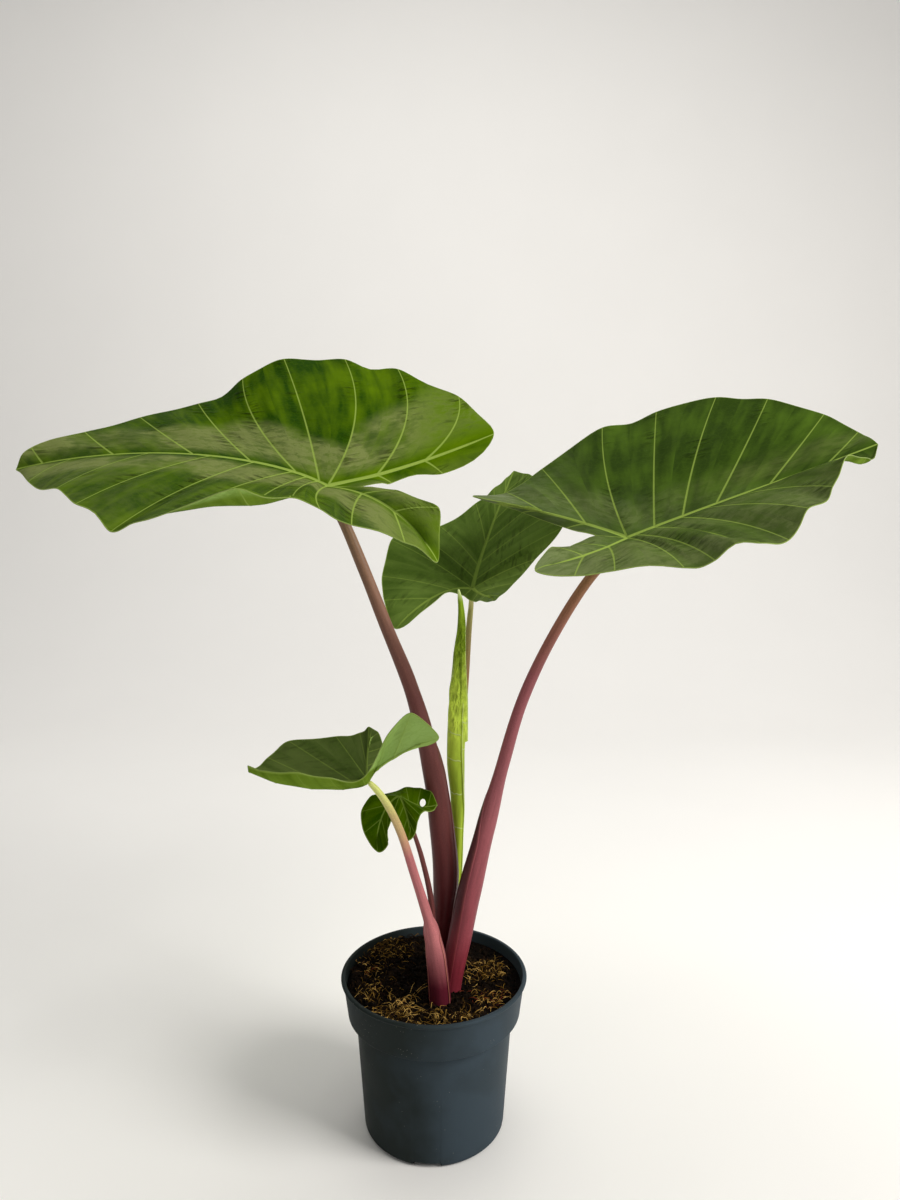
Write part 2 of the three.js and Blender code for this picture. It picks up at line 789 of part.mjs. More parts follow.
// The whole plant
const leaves = [
  { leaf: leftLeaf, detail: { lobeRows: 3, steps: 6 }, material: bladeGreen },
  { leaf: rightLeaf, detail: { lobeRows: 3, steps: 6 }, material: bladeGreen },
  { leaf: rearLeaf, detail: { lobeRows: 3, steps: 5 }, material: rearGreen },
  { leaf: smallLeaf, detail: { lobeRows: 3, steps: 4 }, material: bladeGreen },
  { leaf: tinyLeaf, detail: { lobeRows: 2, steps: 4 }, material: bladeGreen },
];
const stems = [
  { ...leftPetiole, mesh: { sides: 12, rings: 22 }, material: maroon },
  { ...rightPetiole, mesh: { sides: 12, rings: 22 }, material: redMaroon },
  { ...rearPetiole, mesh: { sides: 8, rings: 12 }, material: olivePink },
  { ...smallPetiole, mesh: { sides: 10, rings: 18 }, material: pinkGreen },
  { ...tinyPetiole, mesh: { sides: 8, rings: 12 }, material: redBrown },
  { ...rolledLeaf, mesh: { sides: 12, rings: 24, overlap: 0.14 }, material: youngGreen },
];

const sheets = new Map(leaves.map(({ leaf, detail }) => [leaf, leafSheet(leaf, detail)]));
const plant = new THREE.Group();
plant.name = 'potted_alocasia';
plant.add(meshOf('pot', potGeometry(), potPlastic));
plant.add(meshOf('soil', soilGeometry(stems, sheets), peat));
for (const stem of stems) {
  plant.add(meshOf(stem.name, taperedTube(stationsOfStem(stem, sheets), stem.mesh), stem.material));
}
for (const { leaf, material } of leaves) {
  plant.add(meshOf(leaf.name, bladeGeometry(leaf, sheets.get(leaf)), material));
}

export default plant;
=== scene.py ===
"""Potted alocasia: the looks of the plant, its pot and its soil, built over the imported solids.

Tables and formulas are in millimetres, +Z up, with the origin at the centre of the pot's foot. The plant
faces -Y. Meshes, settings and materials' places are in metres.
"""

import math

import bpy
import numpy as np
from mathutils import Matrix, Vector


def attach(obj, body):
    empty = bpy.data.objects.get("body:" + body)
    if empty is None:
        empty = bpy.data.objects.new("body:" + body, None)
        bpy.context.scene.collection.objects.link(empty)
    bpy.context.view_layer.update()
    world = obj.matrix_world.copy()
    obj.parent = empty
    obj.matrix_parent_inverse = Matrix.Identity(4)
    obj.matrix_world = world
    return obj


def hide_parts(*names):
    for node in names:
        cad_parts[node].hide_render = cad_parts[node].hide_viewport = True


bl_info = {
    "name": "Potted Alocasia",
    "version": (1, 0, 0),
    "blender": (4, 5, 0),
    "location": "3D View > Sidebar > Alocasia",
    "description": "Builds a young alocasia in its nursery pot, with leaves, stalks, soil and a studio",
    "category": "Add Mesh",
}

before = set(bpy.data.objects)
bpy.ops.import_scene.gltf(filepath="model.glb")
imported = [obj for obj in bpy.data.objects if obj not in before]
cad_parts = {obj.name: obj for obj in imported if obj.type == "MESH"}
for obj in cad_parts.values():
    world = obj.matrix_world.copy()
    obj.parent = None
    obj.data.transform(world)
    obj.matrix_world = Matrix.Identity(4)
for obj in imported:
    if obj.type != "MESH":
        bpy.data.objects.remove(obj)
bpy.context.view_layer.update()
MM = 0.001

# Leaf tables. Each half-blade lists its veins from the notch behind the stalk, round the lobe and on to the tip.
# A vein is (root on the midrib, x, y, z of its end on the margin, arch, curl). The first seven leave the lobe's
# rib. edge moves the margin along X and Z at every half vein, and bow moves a vein's middle towards the tip.
# fmt: off
LEFT_LEAF = {
    "name": "leaf_left", "scallop": 1.0, "wave": 2.0, "up": (0, -0.05, 1),
    "midrib": [(-103, 0, 652), (-163, 14, 686), (-309, 40, 700), (-432, 50, 671)],
    "halves": [{
        "rib": [(-25, 60, 671), (66, 120, 716)], "sweep": 0.03,
        "bow": (0, 0, 0, 0, -26, -44, -48, -14, 22, 6, 0, 0, 0, 0),
        "edge": [
            (0, 0), (9, 4.5), (0, 1), (0.5, 8), (0, -1), (-1, -3), (-2.5, 1.5), (-7, 2.5), (-1.5, -1.5),
            (-2.5, -2), (0, 0), (-1, -5), (0, 0.5), (1, -0.5), (0, 0), (0.5, 2), (0.5, -0.5),
            (1.5, -2.5), (0, 1), (-1, 3), (0, -0.5), (0.5, 0.5), (0.5, -1), (2, 1.5), (1, -3),
            (0.5, 1.5), (0, 0),
        ],
        "veins": [
            (0, -75, 8, 651, 0, 0), (0, -43, 42, 656, 1, 0), (0, 9, 84, 670, 2, 0), (0, 68, 122, 714, 0, 0),
            (0, 28, 160, 764, 2, 0), (0, -45, 178, 797, 2, 0), (0, -108, 185, 809, 2, 0),
            (0.04, -180, 185, 810, 2, 0), (0.14, -226, 170, 785, 2, 0), (0.31, -272, 150, 752, 2, 0),
            (0.49, -331, 128, 735, 1, 0), (0.72, -381, 98, 716, 0, 0), (0.92, -422, 62, 698, 0, 0),
            (1, -432, 50, 671, 0, 0),
        ],
    }, {
        "rib": [(-33, -60, 644), (7, -140, 584)], "sweep": 0.08,
        "edge": [
            (0, 0), (7.5, -1.5), (0, -1.5), (-0.5, -1.5), (0, 0), (-3, 3), (-0.5, 0.5), (-1.5, 7.5),
            (0.5, 0.5), (1, 4), (0, 0.5), (1, 1), (1, 1), (-0.5, 3.5), (0, 0.5), (-3, -2.5), (0, 0.5),
            (0.5, 0.5), (0, -1.5), (2.5, 5.5), (2, 2), (3, 6.5), (0, -2), (-1, -0.5), (0, -0.5),
            (-2, -2.5), (0.5, 0), (2, 1.5), (0, 0),
        ],
        "veins": [
            (0, -75, 8, 651, 0, 0), (0, -32, -34, 648, 2, 0), (0, 7, -88, 629, 4, 0), (0, 7, -140, 584, 3, 0),
            (0, -20, -150, 600, 3, 0), (0, -61, -155, 614, 3, 0), (0, -86, -160, 626, 3, 0),
            (0.05, -107, -165, 627, 6, 8), (0.1, -146, -178, 615, 6, 26), (0.16, -216, -170, 611, 8, 9),
            (0.3, -259, -140, 607, 6, 0), (0.44, -300, -106, 634, 5, 0), (0.62, -331, -74, 647, 4, 0),
            (0.84, -384, -20, 655, 2, 0), (1, -432, 50, 671, 0, 0),
        ],
    }],
}
RIGHT_LEAF = {
    "name": "leaf_right", "scallop": 1.0, "wave": 2.0, "up": (0, -0.05, 1),
    "midrib": [(190, 0, 602), (254, 10, 627), (367, 25, 665), (449, 35, 696)],
    "halves": [{
        "rib": [(132, 60, 628), (42, 105, 645)], "sweep": 0.02,
        "bow": (0, 0, 0, 0, 0, 0, -20, -8, -14, 0, 0, 0, 0),
        "edge": [
            (0, 0), (-1, 1.5), (0, 0), (-2, 1.5), (-0.5, -0.5), (5, 1.5), (0.5, 1), (5, 0), (0.5, -3.5),
            (1.5, 1.5), (-0.5, 1), (0, 4.5), (-0.5, 1.5), (1, -3.5), (0, -0.5), (-0.5, 3), (0, 0.5),
            (0, -0.5), (0, -0.5), (-0.5, 1.5), (0, -0.5), (-2, 2.5), (0, -0.5), (0, 2), (0, 0),
        ],
        "veins": [
            (0, 161, 8, 604, 0, 0), (0, 136, 42, 611, 1, 0), (0, 94, 78, 628, 2, 0), (0, 41, 105, 645, 0, 0),
            (0, 80, 132, 655, 2, 0), (0, 123, 150, 678, 2, 0), (0, 196, 172, 727, 2, 0),
            (0.13, 260, 178, 748, 2, 0), (0.25, 328, 172, 763, 2, 0), (0.38, 381, 152, 759, 2, 0),
            (0.58, 431, 118, 737, 1, 0), (0.8, 449, 76, 713, 0, 0), (1, 449, 35, 696, 0, 0),
        ],
    }, {
        "rib": [(147, -70, 588), (86, -128, 577)], "sweep": 0.06,
        "edge": [
            (0, 0), (-0.5, 1.5), (0, -0.5), (-0.5, -2), (-0.5, 0), (1, 2.5), (0.5, 0), (2.5, 2),
            (0, 1.5), (1.5, 3), (0, 1), (0, 6), (0, 1), (-1, 1), (-1, 1), (-2, 7.5), (0, -1.5),
            (-0.5, 0), (-0.5, 0.5), (1, 3.5), (-1, 2), (3, 0), (-3, 0), (-0.5, 0), (0, -0.5),
            (0.5, 2.5), (0.5, 1.5), (2.5, -4.5), (0, 0),
        ],
        "veins": [
            (0, 161, 8, 604, 0, 0), (0, 133, -34, 597, 2, 0), (0, 106, -80, 595, 3, 0), (0, 86, -128, 577, 3, 0),
            (0, 117, -142, 572, 3, 0), (0, 148, -148, 577, 3, 0), (0, 200, -160, 580, 4, 0),
            (0.04, 223, -166, 586, 6, 0), (0.13, 256, -168, 596, 6, 6), (0.24, 286, -150, 602, 6, 0),
            (0.34, 311, -128, 626, 5, 0), (0.48, 346, -98, 647, 4, 0), (0.68, 371, -62, 674, 3, 2),
            (0.86, 415, -10, 668, 1, 9), (1, 449, 35, 696, 0, 0),
        ],
    }],
}
REAR_LEAF = {
    "name": "leaf_rear", "scallop": 0.8, "wave": 1.5, "up": (0, -0.5, 0.85),
    "midrib": [(42, 130, 542), (52, 175, 577), (72, 235, 621), (101, 290, 686)],
    "halves": [{
        "rib": [(54, 150, 530), (75, 190, 526)], "sweep": 0.05,
        "veins": [
            (0, 32, 122, 534, 0, 0), (0, 42, 134, 527, 0, 0), (0, 52, 160, 525, 0, 0), (0, 68, 196, 521, 0, 0),
            (0, 77, 186, 528, 2, 0), (0, 93, 170, 545, 3, 0), (0, 118, 166, 574, 3, 0),
            (0.08, 151, 180, 611, 4, 0), (0.24, 151, 206, 635, 4, 0), (0.42, 147, 232, 658, 3, 0),
            (0.62, 135, 256, 674, 2, 0), (0.84, 119, 276, 681, 0, 0), (1, 101, 290, 686, 0, 0),
        ],
    }, {
        "rib": [(1, 104, 549), (-41, 58, 505)], "sweep": 0.05,
        "veins": [
            (0, 32, 122, 534, 0, 0), (0, 12, 98, 540, 0, 0), (0, -14, 78, 521, 0, 0), (0, -41, 56, 505, 0, 0),
            (0, -55, 78, 533, 2, 0), (0, -60, 112, 557, 3, 0), (0, -52, 150, 597, 3, 0),
            (0.1, -29, 178, 608, 3, 0), (0.22, 4, 206, 613, 3, 0), (0.42, 49, 240, 642, 3, 0),
            (0.64, 73, 262, 662, 2, 0), (0.84, 90, 278, 676, 0, 0), (1, 101, 290, 686, 0, 0),
        ],
    }],
}
SMALL_LEAF = {
    "name": "leaf_small", "scallop": 0.5, "wave": 1.0, "up": (0, -0.35, 0.93),
    "midrib": [(-60, -60, 378), (-95, -62, 375), (-133, -64, 379), (-169, -66, 388)],
    "halves": [{
        "rib": [(-65, -44, 396), (-59, -22, 415)], "sweep": 0.0,
        "veins": [
            (0, -56, -58, 385, 0, 0), (0, -52, -44, 391, 0, 0), (0, -48, -32, 401, 0, 0),
            (0, -53, -22, 413, 0, 0), (0, -63, -18, 418, 0, 0), (0, -72, -18, 412, 0, 0),
            (0, -95, -20, 409, 0, 0), (0.14, -140, -26, 406, 0, 0), (0.42, -158, -38, 393, 0, 0),
            (0.74, -167, -56, 385, 0, 3), (1, -169, -66, 388, 0, 7),
        ],
    }, {
        "rib": [(-48, -84, 404), (4, -108, 431)], "sweep": 0.0,
        "veins": [
            (0, -56, -58, 385, 0, 0), (0, -43, -76, 399, 0, 0), (0, -19, -94, 417, 0, 0),
            (0, 7, -108, 431, 0, 0), (0, -17, -108, 453, 0, 0), (0, -38, -98, 432, 0, 0),
            (0, -62, -88, 389, -12, 0), (0.14, -91, -90, 390, -22, 0), (0.4, -121, -90, 395, -26, 0),
            (0.72, -150, -80, 393, -18, 0), (1, -169, -66, 388, 0, 7),
        ],
    }],
}
TINY_LEAF = {
    "name": "leaf_tiny", "scallop": 0.5, "wave": 1.0, "up": (0, -0.5, 0.85),
    # The hole's centre (x, z) and radius, and the y behind which it is cut
    "hole": ((-10.5, 341.0), 2.9, -21.0),
    "midrib": [(-33, -24, 351), (-25, -20, 346), (-13, -20, 333), (4, -16, 339)],
    "halves": [{
        "rib": [(-54, -24, 340), (-55, -42, 302)], "sweep": 0.0,
        "veins": [
            (0, -41, -36, 330, 0, 0), (0, -44, -42, 319, 0, 0), (0, -43, -46, 310, 0, 0),
            (0, -53, -46, 303, 0, 0), (0, -67, -34, 317, 0, 0), (0, -71, -22, 334, 0, 0),
            (0, -62, -10, 346, 0, 0), (0.12, -44, -4, 347, 0, 0), (0.32, -28, 2, 351, 0, 0),
            (0.56, -13, -1, 351, 0, 0), (0.8, -2, -10, 350, 0, 0), (1, 4, -16, 339, 0, 0),
        ],
    }, {
        "rib": [(-24, -32, 337), (-21, -46, 317)], "sweep": 0.0,
        "veins": [
            (0, -41, -36, 330, 0, 0), (0, -36, -40, 326, 0, 0), (0, -30, -45, 318, 0, 0),
            (0, -23, -48, 315, 0, 0), (0, -17, -46, 321, 0, 0), (0, -15, -44, 330, 0, 0),
            (0, -12, -40, 337, 0, 0), (0.3, -8, -34, 339, 0, 0), (0.7, 0, -24, 336, 0, 0),
            (1, 4, -16, 339, 0, 0),
        ],
    }],
}

# Stalk tables: x, y, z on the centre line and the radius there, from the soil up to the blade
STALKS = {
    "petiole_left": [
        (4, 6, 115, 9.5), (4, 6, 147, 9.5), (9, 6, 209, 10.5), (12, 5, 257, 13), (8, 4, 307, 12.4),
        (1, 3, 359, 11), (-10, 2, 409, 9), (-24, 1, 457, 7.4), (-46, 0, 513, 6.4), (-67, -1, 568, 5.9),
        (-88, -1, 619, 5.4), (-103.2, 0.6, 648.0, 3.6),
    ],
    "petiole_right": [
        (17, -15, 115, 10.5), (17, -15, 147, 10.5), (28, -15, 209, 11.6), (36, -15, 249, 11.6),
        (52, -13, 314, 9.3), (69, -11, 379, 6.4), (88, -8, 442, 5.7), (118, -5, 506, 5.2), (157, -3, 567, 5),
        (190.0, 0.4, 598.4, 3.6),
    ],
    "petiole_rear": [
        (8, 27, 115, 5.5), (8, 27, 147, 5.5), (21, 66, 290, 4.5), (34, 120, 434, 3.6), (39, 148, 500, 3.4),
        (41, 152, 520, 3), (41, 134, 539.0, 2.4),
    ],
    "petiole_small": [
        (6.5, -36, 115, 10.5), (6.5, -36, 147, 10.5), (3, -39, 191, 9.3), (-1, -42, 219, 7.3),
        (-5, -44, 237, 5), (-17, -49, 280, 4.3), (-30, -54, 325, 3.9), (-41, -57, 351, 3.7),
        (-51, -59, 367, 3.2), (-59.6, -60, 376.6, 2.4),
    ],
    "petiole_tiny": [
        (-1, -17, 115, 3.5), (-1, -17, 147, 3.5), (-2, -19, 237, 3), (-11, -20, 284, 2.5),
        (-19, -17, 309, 2.1), (-28, -12, 332, 1.6), (-32.6, -21.5, 348.6, 1.3),
    ],
    "rolled_leaf": [
        (19, 20, 115, 4.5), (19, 20, 147, 4.5), (25, 21, 283, 4.8), (24, 23, 330, 7), (22, 24, 372, 9),
        (23, 25, 409, 9.4), (24, 26, 445, 8), (26, 27, 482, 6.2), (28, 28, 507, 4.4), (27, 29, 536, 2.6),
        (25, 30, 549, 1.2),
    ],
}
# fmt: on

LOBE_VEINS = 6
RIB_REACH = 0.85
CURL_START = 0.72
FULL_SCALLOP = 60.0
# Rows of a blade lie close together beside each vein and wide apart between two
VEIN_ROWS = np.array([0, 0.02, 0.045, 0.1, 0.2, 0.34, 0.5, 0.66, 0.8, 0.9, 0.955, 0.98])
# How deep veins and ribs sink above and how high they stand out below, as shares of half their width
VEIN_DEPTH, RIB_DEPTH, VEIN_HEIGHT, RIB_HEIGHT = 0.35, 0.25, 1.1, 1.25
# How far from the margin that relief is full, and how far from the rib the bulge is
RELIEF_FADE, BULGE_FADE = 12, 20
# What a vein's number adds to the length along it, so that no two veins share their streaks
VEIN_SHIFT = 137.0
# What the rim wall holds in place of distances: far from every vein and rib, and on the margin
ON_THE_WALL = [1e3, 1e3, 1.0, 1e3, 0.0, 1.0]
# How far inside a wrapping layer's edge a stalk lies where no layer wraps it
FAR_OUTSIDE = -99.0


# Curves
def smooth(x):
    """3x^2 - 2x^3 with x held between 0 and 1."""
    x = np.clip(x, 0, 1)
    return x * x * (3 - 2 * x)


def bezier(points, t):
    """The Bezier curve on the points: neighbours are blended by t until one point is left."""
    t = np.asarray(t, float)[..., None]
    level = [np.asarray(p, float) for p in points]
    while len(level) > 1:
        level = [a * (1 - t) + b * t for a, b in zip(level, level[1:])]
    return level[0]


def spline(points, u, even=True):
    """Hermite cubics through every point, u counting them.

    If the points are evenly spaced, the slope at one is half the step between its neighbours. If not, it allows
    for their distances, and each step counts the root of its length.
    """
    points = np.asarray(points, float)
    padded = np.vstack([2 * points[0] - points[1], points, 2 * points[-1] - points[-2]])
    i = np.clip(np.floor(u).astype(int), 0, len(points) - 2)
    w = (np.asarray(u, float) - i)[..., None]
    a, b, c, d = (padded[i + k] for k in range(4))
    start, end = (c - a) / 2, (d - b) / 2
    if not even:
        knots = np.sqrt(np.linalg.norm(np.diff(padded, axis=0), axis=1))
        before, here, after = (knots[i + k][..., None] for k in range(3))
        start = ((b - a) / before - (c - a) / (before + here) + (c - b) / here) * here
        end = ((c - b) / here - (d - b) / (here + after) + (d - c) / after) * here
    slopes = (w**3 - 2 * w**2 + w) * start
    return (2 * w**3 - 3 * w**2 + 1) * b + slopes + (3 * w**2 - 2 * w**3) * c + (w**3 - w**2) * end


def unit(v):
    """Vectors along the last axis, scaled to length 1; a null vector stays null."""
    return v / np.maximum(np.linalg.norm(v, axis=-1, keepdims=True), 1e-9)


def value_noise(x, y, cell, seed):
    """Noise from -1 to 1: random values on a square lattice of that cell, blended smoothly both ways."""
    size = 64
    values = np.random.default_rng(seed).uniform(-1, 1, (size, size))
    gx, gy = x / cell, y / cell
    i, j = np.floor(gx).astype(int), np.floor(gy).astype(int)
    u, v = smooth(gx - i), smooth(gy - j)
    corner = lambda p, q: values[(i + p) % size, (j + q) % size]
    low = corner(0, 0) * (1 - u) + corner(1, 0) * u
    high = corner(0, 1) * (1 - u) + corner(1, 1) * u
    return low * (1 - v) + high * v


# Meshes
def add_piece(name, points, faces, materials, replaced=(), face_materials=None, corners=None, crease=50):
    """A mesh object at the origin from points in millimetres and faces of three or four corners.

    faces is a list of index arrays, (n, 3) or (n, 4). face_materials gives each face's material, and corners
    maps attribute names to one value or vector for each corner, in the order of faces.
    """
    mesh = bpy.data.meshes.new(name)
    sizes = np.concatenate([np.full(len(f), f.shape[1]) for f in faces])
    loops = np.concatenate([f.ravel() for f in faces])
    mesh.vertices.add(len(points))
    mesh.vertices.foreach_set("co", (np.asarray(points, float) * MM).ravel())
    mesh.loops.add(len(loops))
    mesh.loops.foreach_set("vertex_index", loops.astype(np.int32))
    mesh.polygons.add(len(sizes))
    mesh.polygons.foreach_set("loop_start", np.concatenate([[0], np.cumsum(sizes)[:-1]]).astype(np.int32))
    mesh.polygons.foreach_set("use_smooth", np.ones(len(sizes), bool))
    for material in materials:
        mesh.materials.append(material)
    if face_materials is not None:
        mesh.polygons.foreach_set("material_index", np.asarray(face_materials, np.int32))
    for key, values in (corners or {}).items():
        values = np.asarray(values, np.float32)
        kind, field = ("FLOAT", "value") if values.ndim == 1 else ("FLOAT_VECTOR", "vector")
        mesh.attributes.new(key, kind, "CORNER").data.foreach_set(field, values.ravel())
    mesh.update(calc_edges=True)
    if mesh.validate():
        raise RuntimeError(f"{name} has faces that aren't valid")
    mesh.set_sharp_from_angle(angle=math.radians(crease))
    piece = bpy.data.objects.new(name, mesh)
    bpy.context.scene.collection.objects.link(piece)
    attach(piece, "root")
    if replaced:
        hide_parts(*replaced)


def grid_faces(rows, columns, wrap=False):
    """Four-cornered faces between the points of a grid, and across its side edges if it wraps."""
    i, j = np.meshgrid(np.arange(rows - 1) * columns, np.arange(columns - (not wrap)), indexing="ij")
    k = (j + 1) % columns
    return np.stack([i + j, i + k, i + columns + k, i + columns + j], -1).reshape(-1, 4)


def merged(points):
    """Points within a micrometre as one: which of them stay, and every point's new number."""
    _, first, number = np.unique(np.round(points * 1000), axis=0, return_index=True, return_inverse=True)
    return first, number.ravel()


def unflat(triangles):
    """Which triangles have three different corners."""
    return (triangles != np.roll(triangles, 1, axis=1)).all(axis=1)


def area_vectors(points, triangles):
    """The triangles' area vectors: the cross product of the two sides that leave the first corner."""
    a, b, c = (points[triangles[:, k]] for k in range(3))
    return np.cross(b - a, c - a)


def area_normals(points, triangles):
    """Unit normals at the points: the sum of the triangles' area vectors round each one."""
    across = area_vectors(points, triangles)
    normals = np.zeros_like(points)
    for k in range(3):
        np.add.at(normals, triangles[:, k], across)
    return unit(normals)


def rim_edges(triangles):
    """The sides that only one triangle has, each in that triangle's direction."""
    sides = np.concatenate([triangles[:, [0, 1]], triangles[:, [1, 2]], triangles[:, [2, 0]]])
    span = sides.max() + 1
    forward, backward = sides[:, 0] * span + sides[:, 1], sides[:, 1] * span + sides[:, 0]
    return sides[~np.isin(forward, backward)]


def drop_unused(points, faces):
    """The points that some face uses, and the faces numbered to match."""
    used = np.unique(np.concatenate([f.ravel() for f in faces]))
    number = np.zeros(len(points), int)
    number[used] = np.arange(len(used))
    return points[used], [number[f] for f in faces]


def weld(grids):
    """Grids of points that wrap, as one set of points and three-cornered faces, none of them flat."""
    offset, quads = 0, []
    for grid in grids:
        quads.append(grid_faces(*grid.shape[:2], wrap=True) + offset)
        offset += grid.shape[0] * grid.shape[1]
    points = np.concatenate([grid.reshape(-1, 3) for grid in grids])
    first, number = merged(points)
    quads = number[np.concatenate(quads)]
    triangles = np.concatenate([quads[:, [0, 1, 2]], quads[:, [0, 2, 3]]])
    return points[first], triangles[unflat(triangles)]


# Leaf blades
def rib_place(s):
    """Where a row leaves its lobe's rib: 0.85 (1 - |s - 3| / 3) of the rib's length."""
    return RIB_REACH * (1 - np.abs(s - 3) / 3)


def vein_points(leaf, half, s, root, t):
    """The half-blade: rows s along the margin, columns t from the rib (0) to the margin (1).

    s counts the veins. A row starts on the lobe's rib while s is up to 6, and after that at root on the midrib.
    It ends on a spline through the veins' ends, moved along X and Z by the edge table's spline, which has two
    points to a vein, and drawn in and hanging lower between two veins by sin^2(pi s). In between it is a
    quadratic Bezier whose middle point is lifted by the arch and moved towards the tip by the sweep and the
    bow. Beyond t = 0.72 the curl lifts it.
    """
    veins = np.array(half["veins"], float)
    midrib = np.array(leaf["midrib"], float)
    up = np.array(leaf["up"], float)
    lobe = bezier([midrib[0], *half["rib"]], rib_place(s))
    start = np.where((s <= LOBE_VEINS)[:, None], lobe, bezier(midrib, root))
    end = spline(veins[:, 1:4], s)
    if "edge" in half:
        end[:, [0, 2]] += spline(half["edge"], 2 * s)
    arch, curl = spline(veins[:, 4:6], s).T
    reach = np.linalg.norm(end - start, axis=1)
    between = np.sin(np.pi * s) ** 2 * np.clip(np.minimum(s, len(veins) - 1 - s), 0, 1)
    notch = leaf["scallop"] * between * np.minimum(1, reach / FULL_SCALLOP)
    end = end - unit(end - start) * notch[:, None]
    bow = spline(np.array(half["bow"], float)[:, None], s)[:, 0] if "bow" in half else 0
    forward = np.clip((s - 4) / 2, 0, 1) * half["sweep"] * reach + bow
    middle = (start + end) / 2 + up * arch[:, None] + unit(midrib[3] - midrib[0]) * forward[:, None]
    a, b, c = ((1 - t) ** 2)[:, None], (2 * t * (1 - t))[:, None], (t**2)[:, None]
    points = start[:, None] * a + middle[:, None] * b + end[:, None] * c
    edge = smooth((t - CURL_START) / (1 - CURL_START))
    lift = curl[:, None] * edge - leaf["wave"] * between[:, None] * t**3
    return points + up * lift[..., None]


def blade_rows(leaf):
    """Row places of both half-blades: on the lobe by vein number, beyond it at roots shared by both halves."""
    lobe = (np.arange(LOBE_VEINS)[:, None] + VEIN_ROWS).ravel()
    main = [half["veins"][LOBE_VEINS:] for half in leaf["halves"]]
    at = [[vein[0] for vein in veins] for veins in main]
    counts = [LOBE_VEINS + np.arange(len(veins)) for veins in main]
    places = [np.append((k[:-1, None] + VEIN_ROWS).ravel(), k[-1]) for k in counts]
    roots = np.unique(np.round(np.concatenate([np.interp(*row) for row in zip(places, counts, at)]), 7))
    return [(np.append(lobe, np.interp(roots, a, k)), np.append(0 * lobe, roots)) for a, k in zip(at, counts)]


def blade_columns(count):
    """Column places from rib to margin, closer together at both ends: two fifths even, the rest a cosine."""
    u = np.linspace(0, 1, count)
    return 0.4 * u + 0.6 * (1 - np.cos(np.pi * u)) / 2


def line_distances(points, s, t, leaf, half, root):
    """Distances in millimetres on a half-blade, for its relief and its material.

    across runs from row to row, square to the veins, and is counted from the nearest vein. The distances from
    the rib and to the margin go along the row, the first one foreshortened by the angle between row and rib.
    """
    step = np.diff(points, axis=0)
    along = unit(np.gradient(points, axis=1))
    along = (along[:-1] + along[1:]) / 2
    width = np.linalg.norm(step - (step * along).sum(-1, keepdims=True) * along, axis=-1)
    total = np.vstack([np.zeros(len(t)), np.cumsum(width, axis=0)])
    nearest = np.round((s[:-1] + s[1:]) / 2).astype(int)
    vein_row = np.array([np.abs(s - k).argmin() for k in range(int(s[-1]) + 1)])[nearest]
    across = np.stack([total[:-1] - total[vein_row], total[1:] - total[vein_row]], axis=1)
    reach = np.linalg.norm(points[:, -1] - points[:, 0], axis=1)
    lobe_rib = [leaf["midrib"][0], *half["rib"]]
    small = 1e-3
    lobe = bezier(lobe_rib, rib_place(s) + small) - bezier(lobe_rib, rib_place(s) - small)
    main = bezier(leaf["midrib"], root + small) - bezier(leaf["midrib"], root - small)
    rib = unit(np.where((s <= LOBE_VEINS)[:, None], lobe, main))
    row = unit(points[:, 3] - points[:, 0])
    sine = np.linalg.norm(np.cross(row, rib), axis=1)
    return across, nearest, reach[:, None] * t * sine[:, None], reach[:, None] * (1 - t)


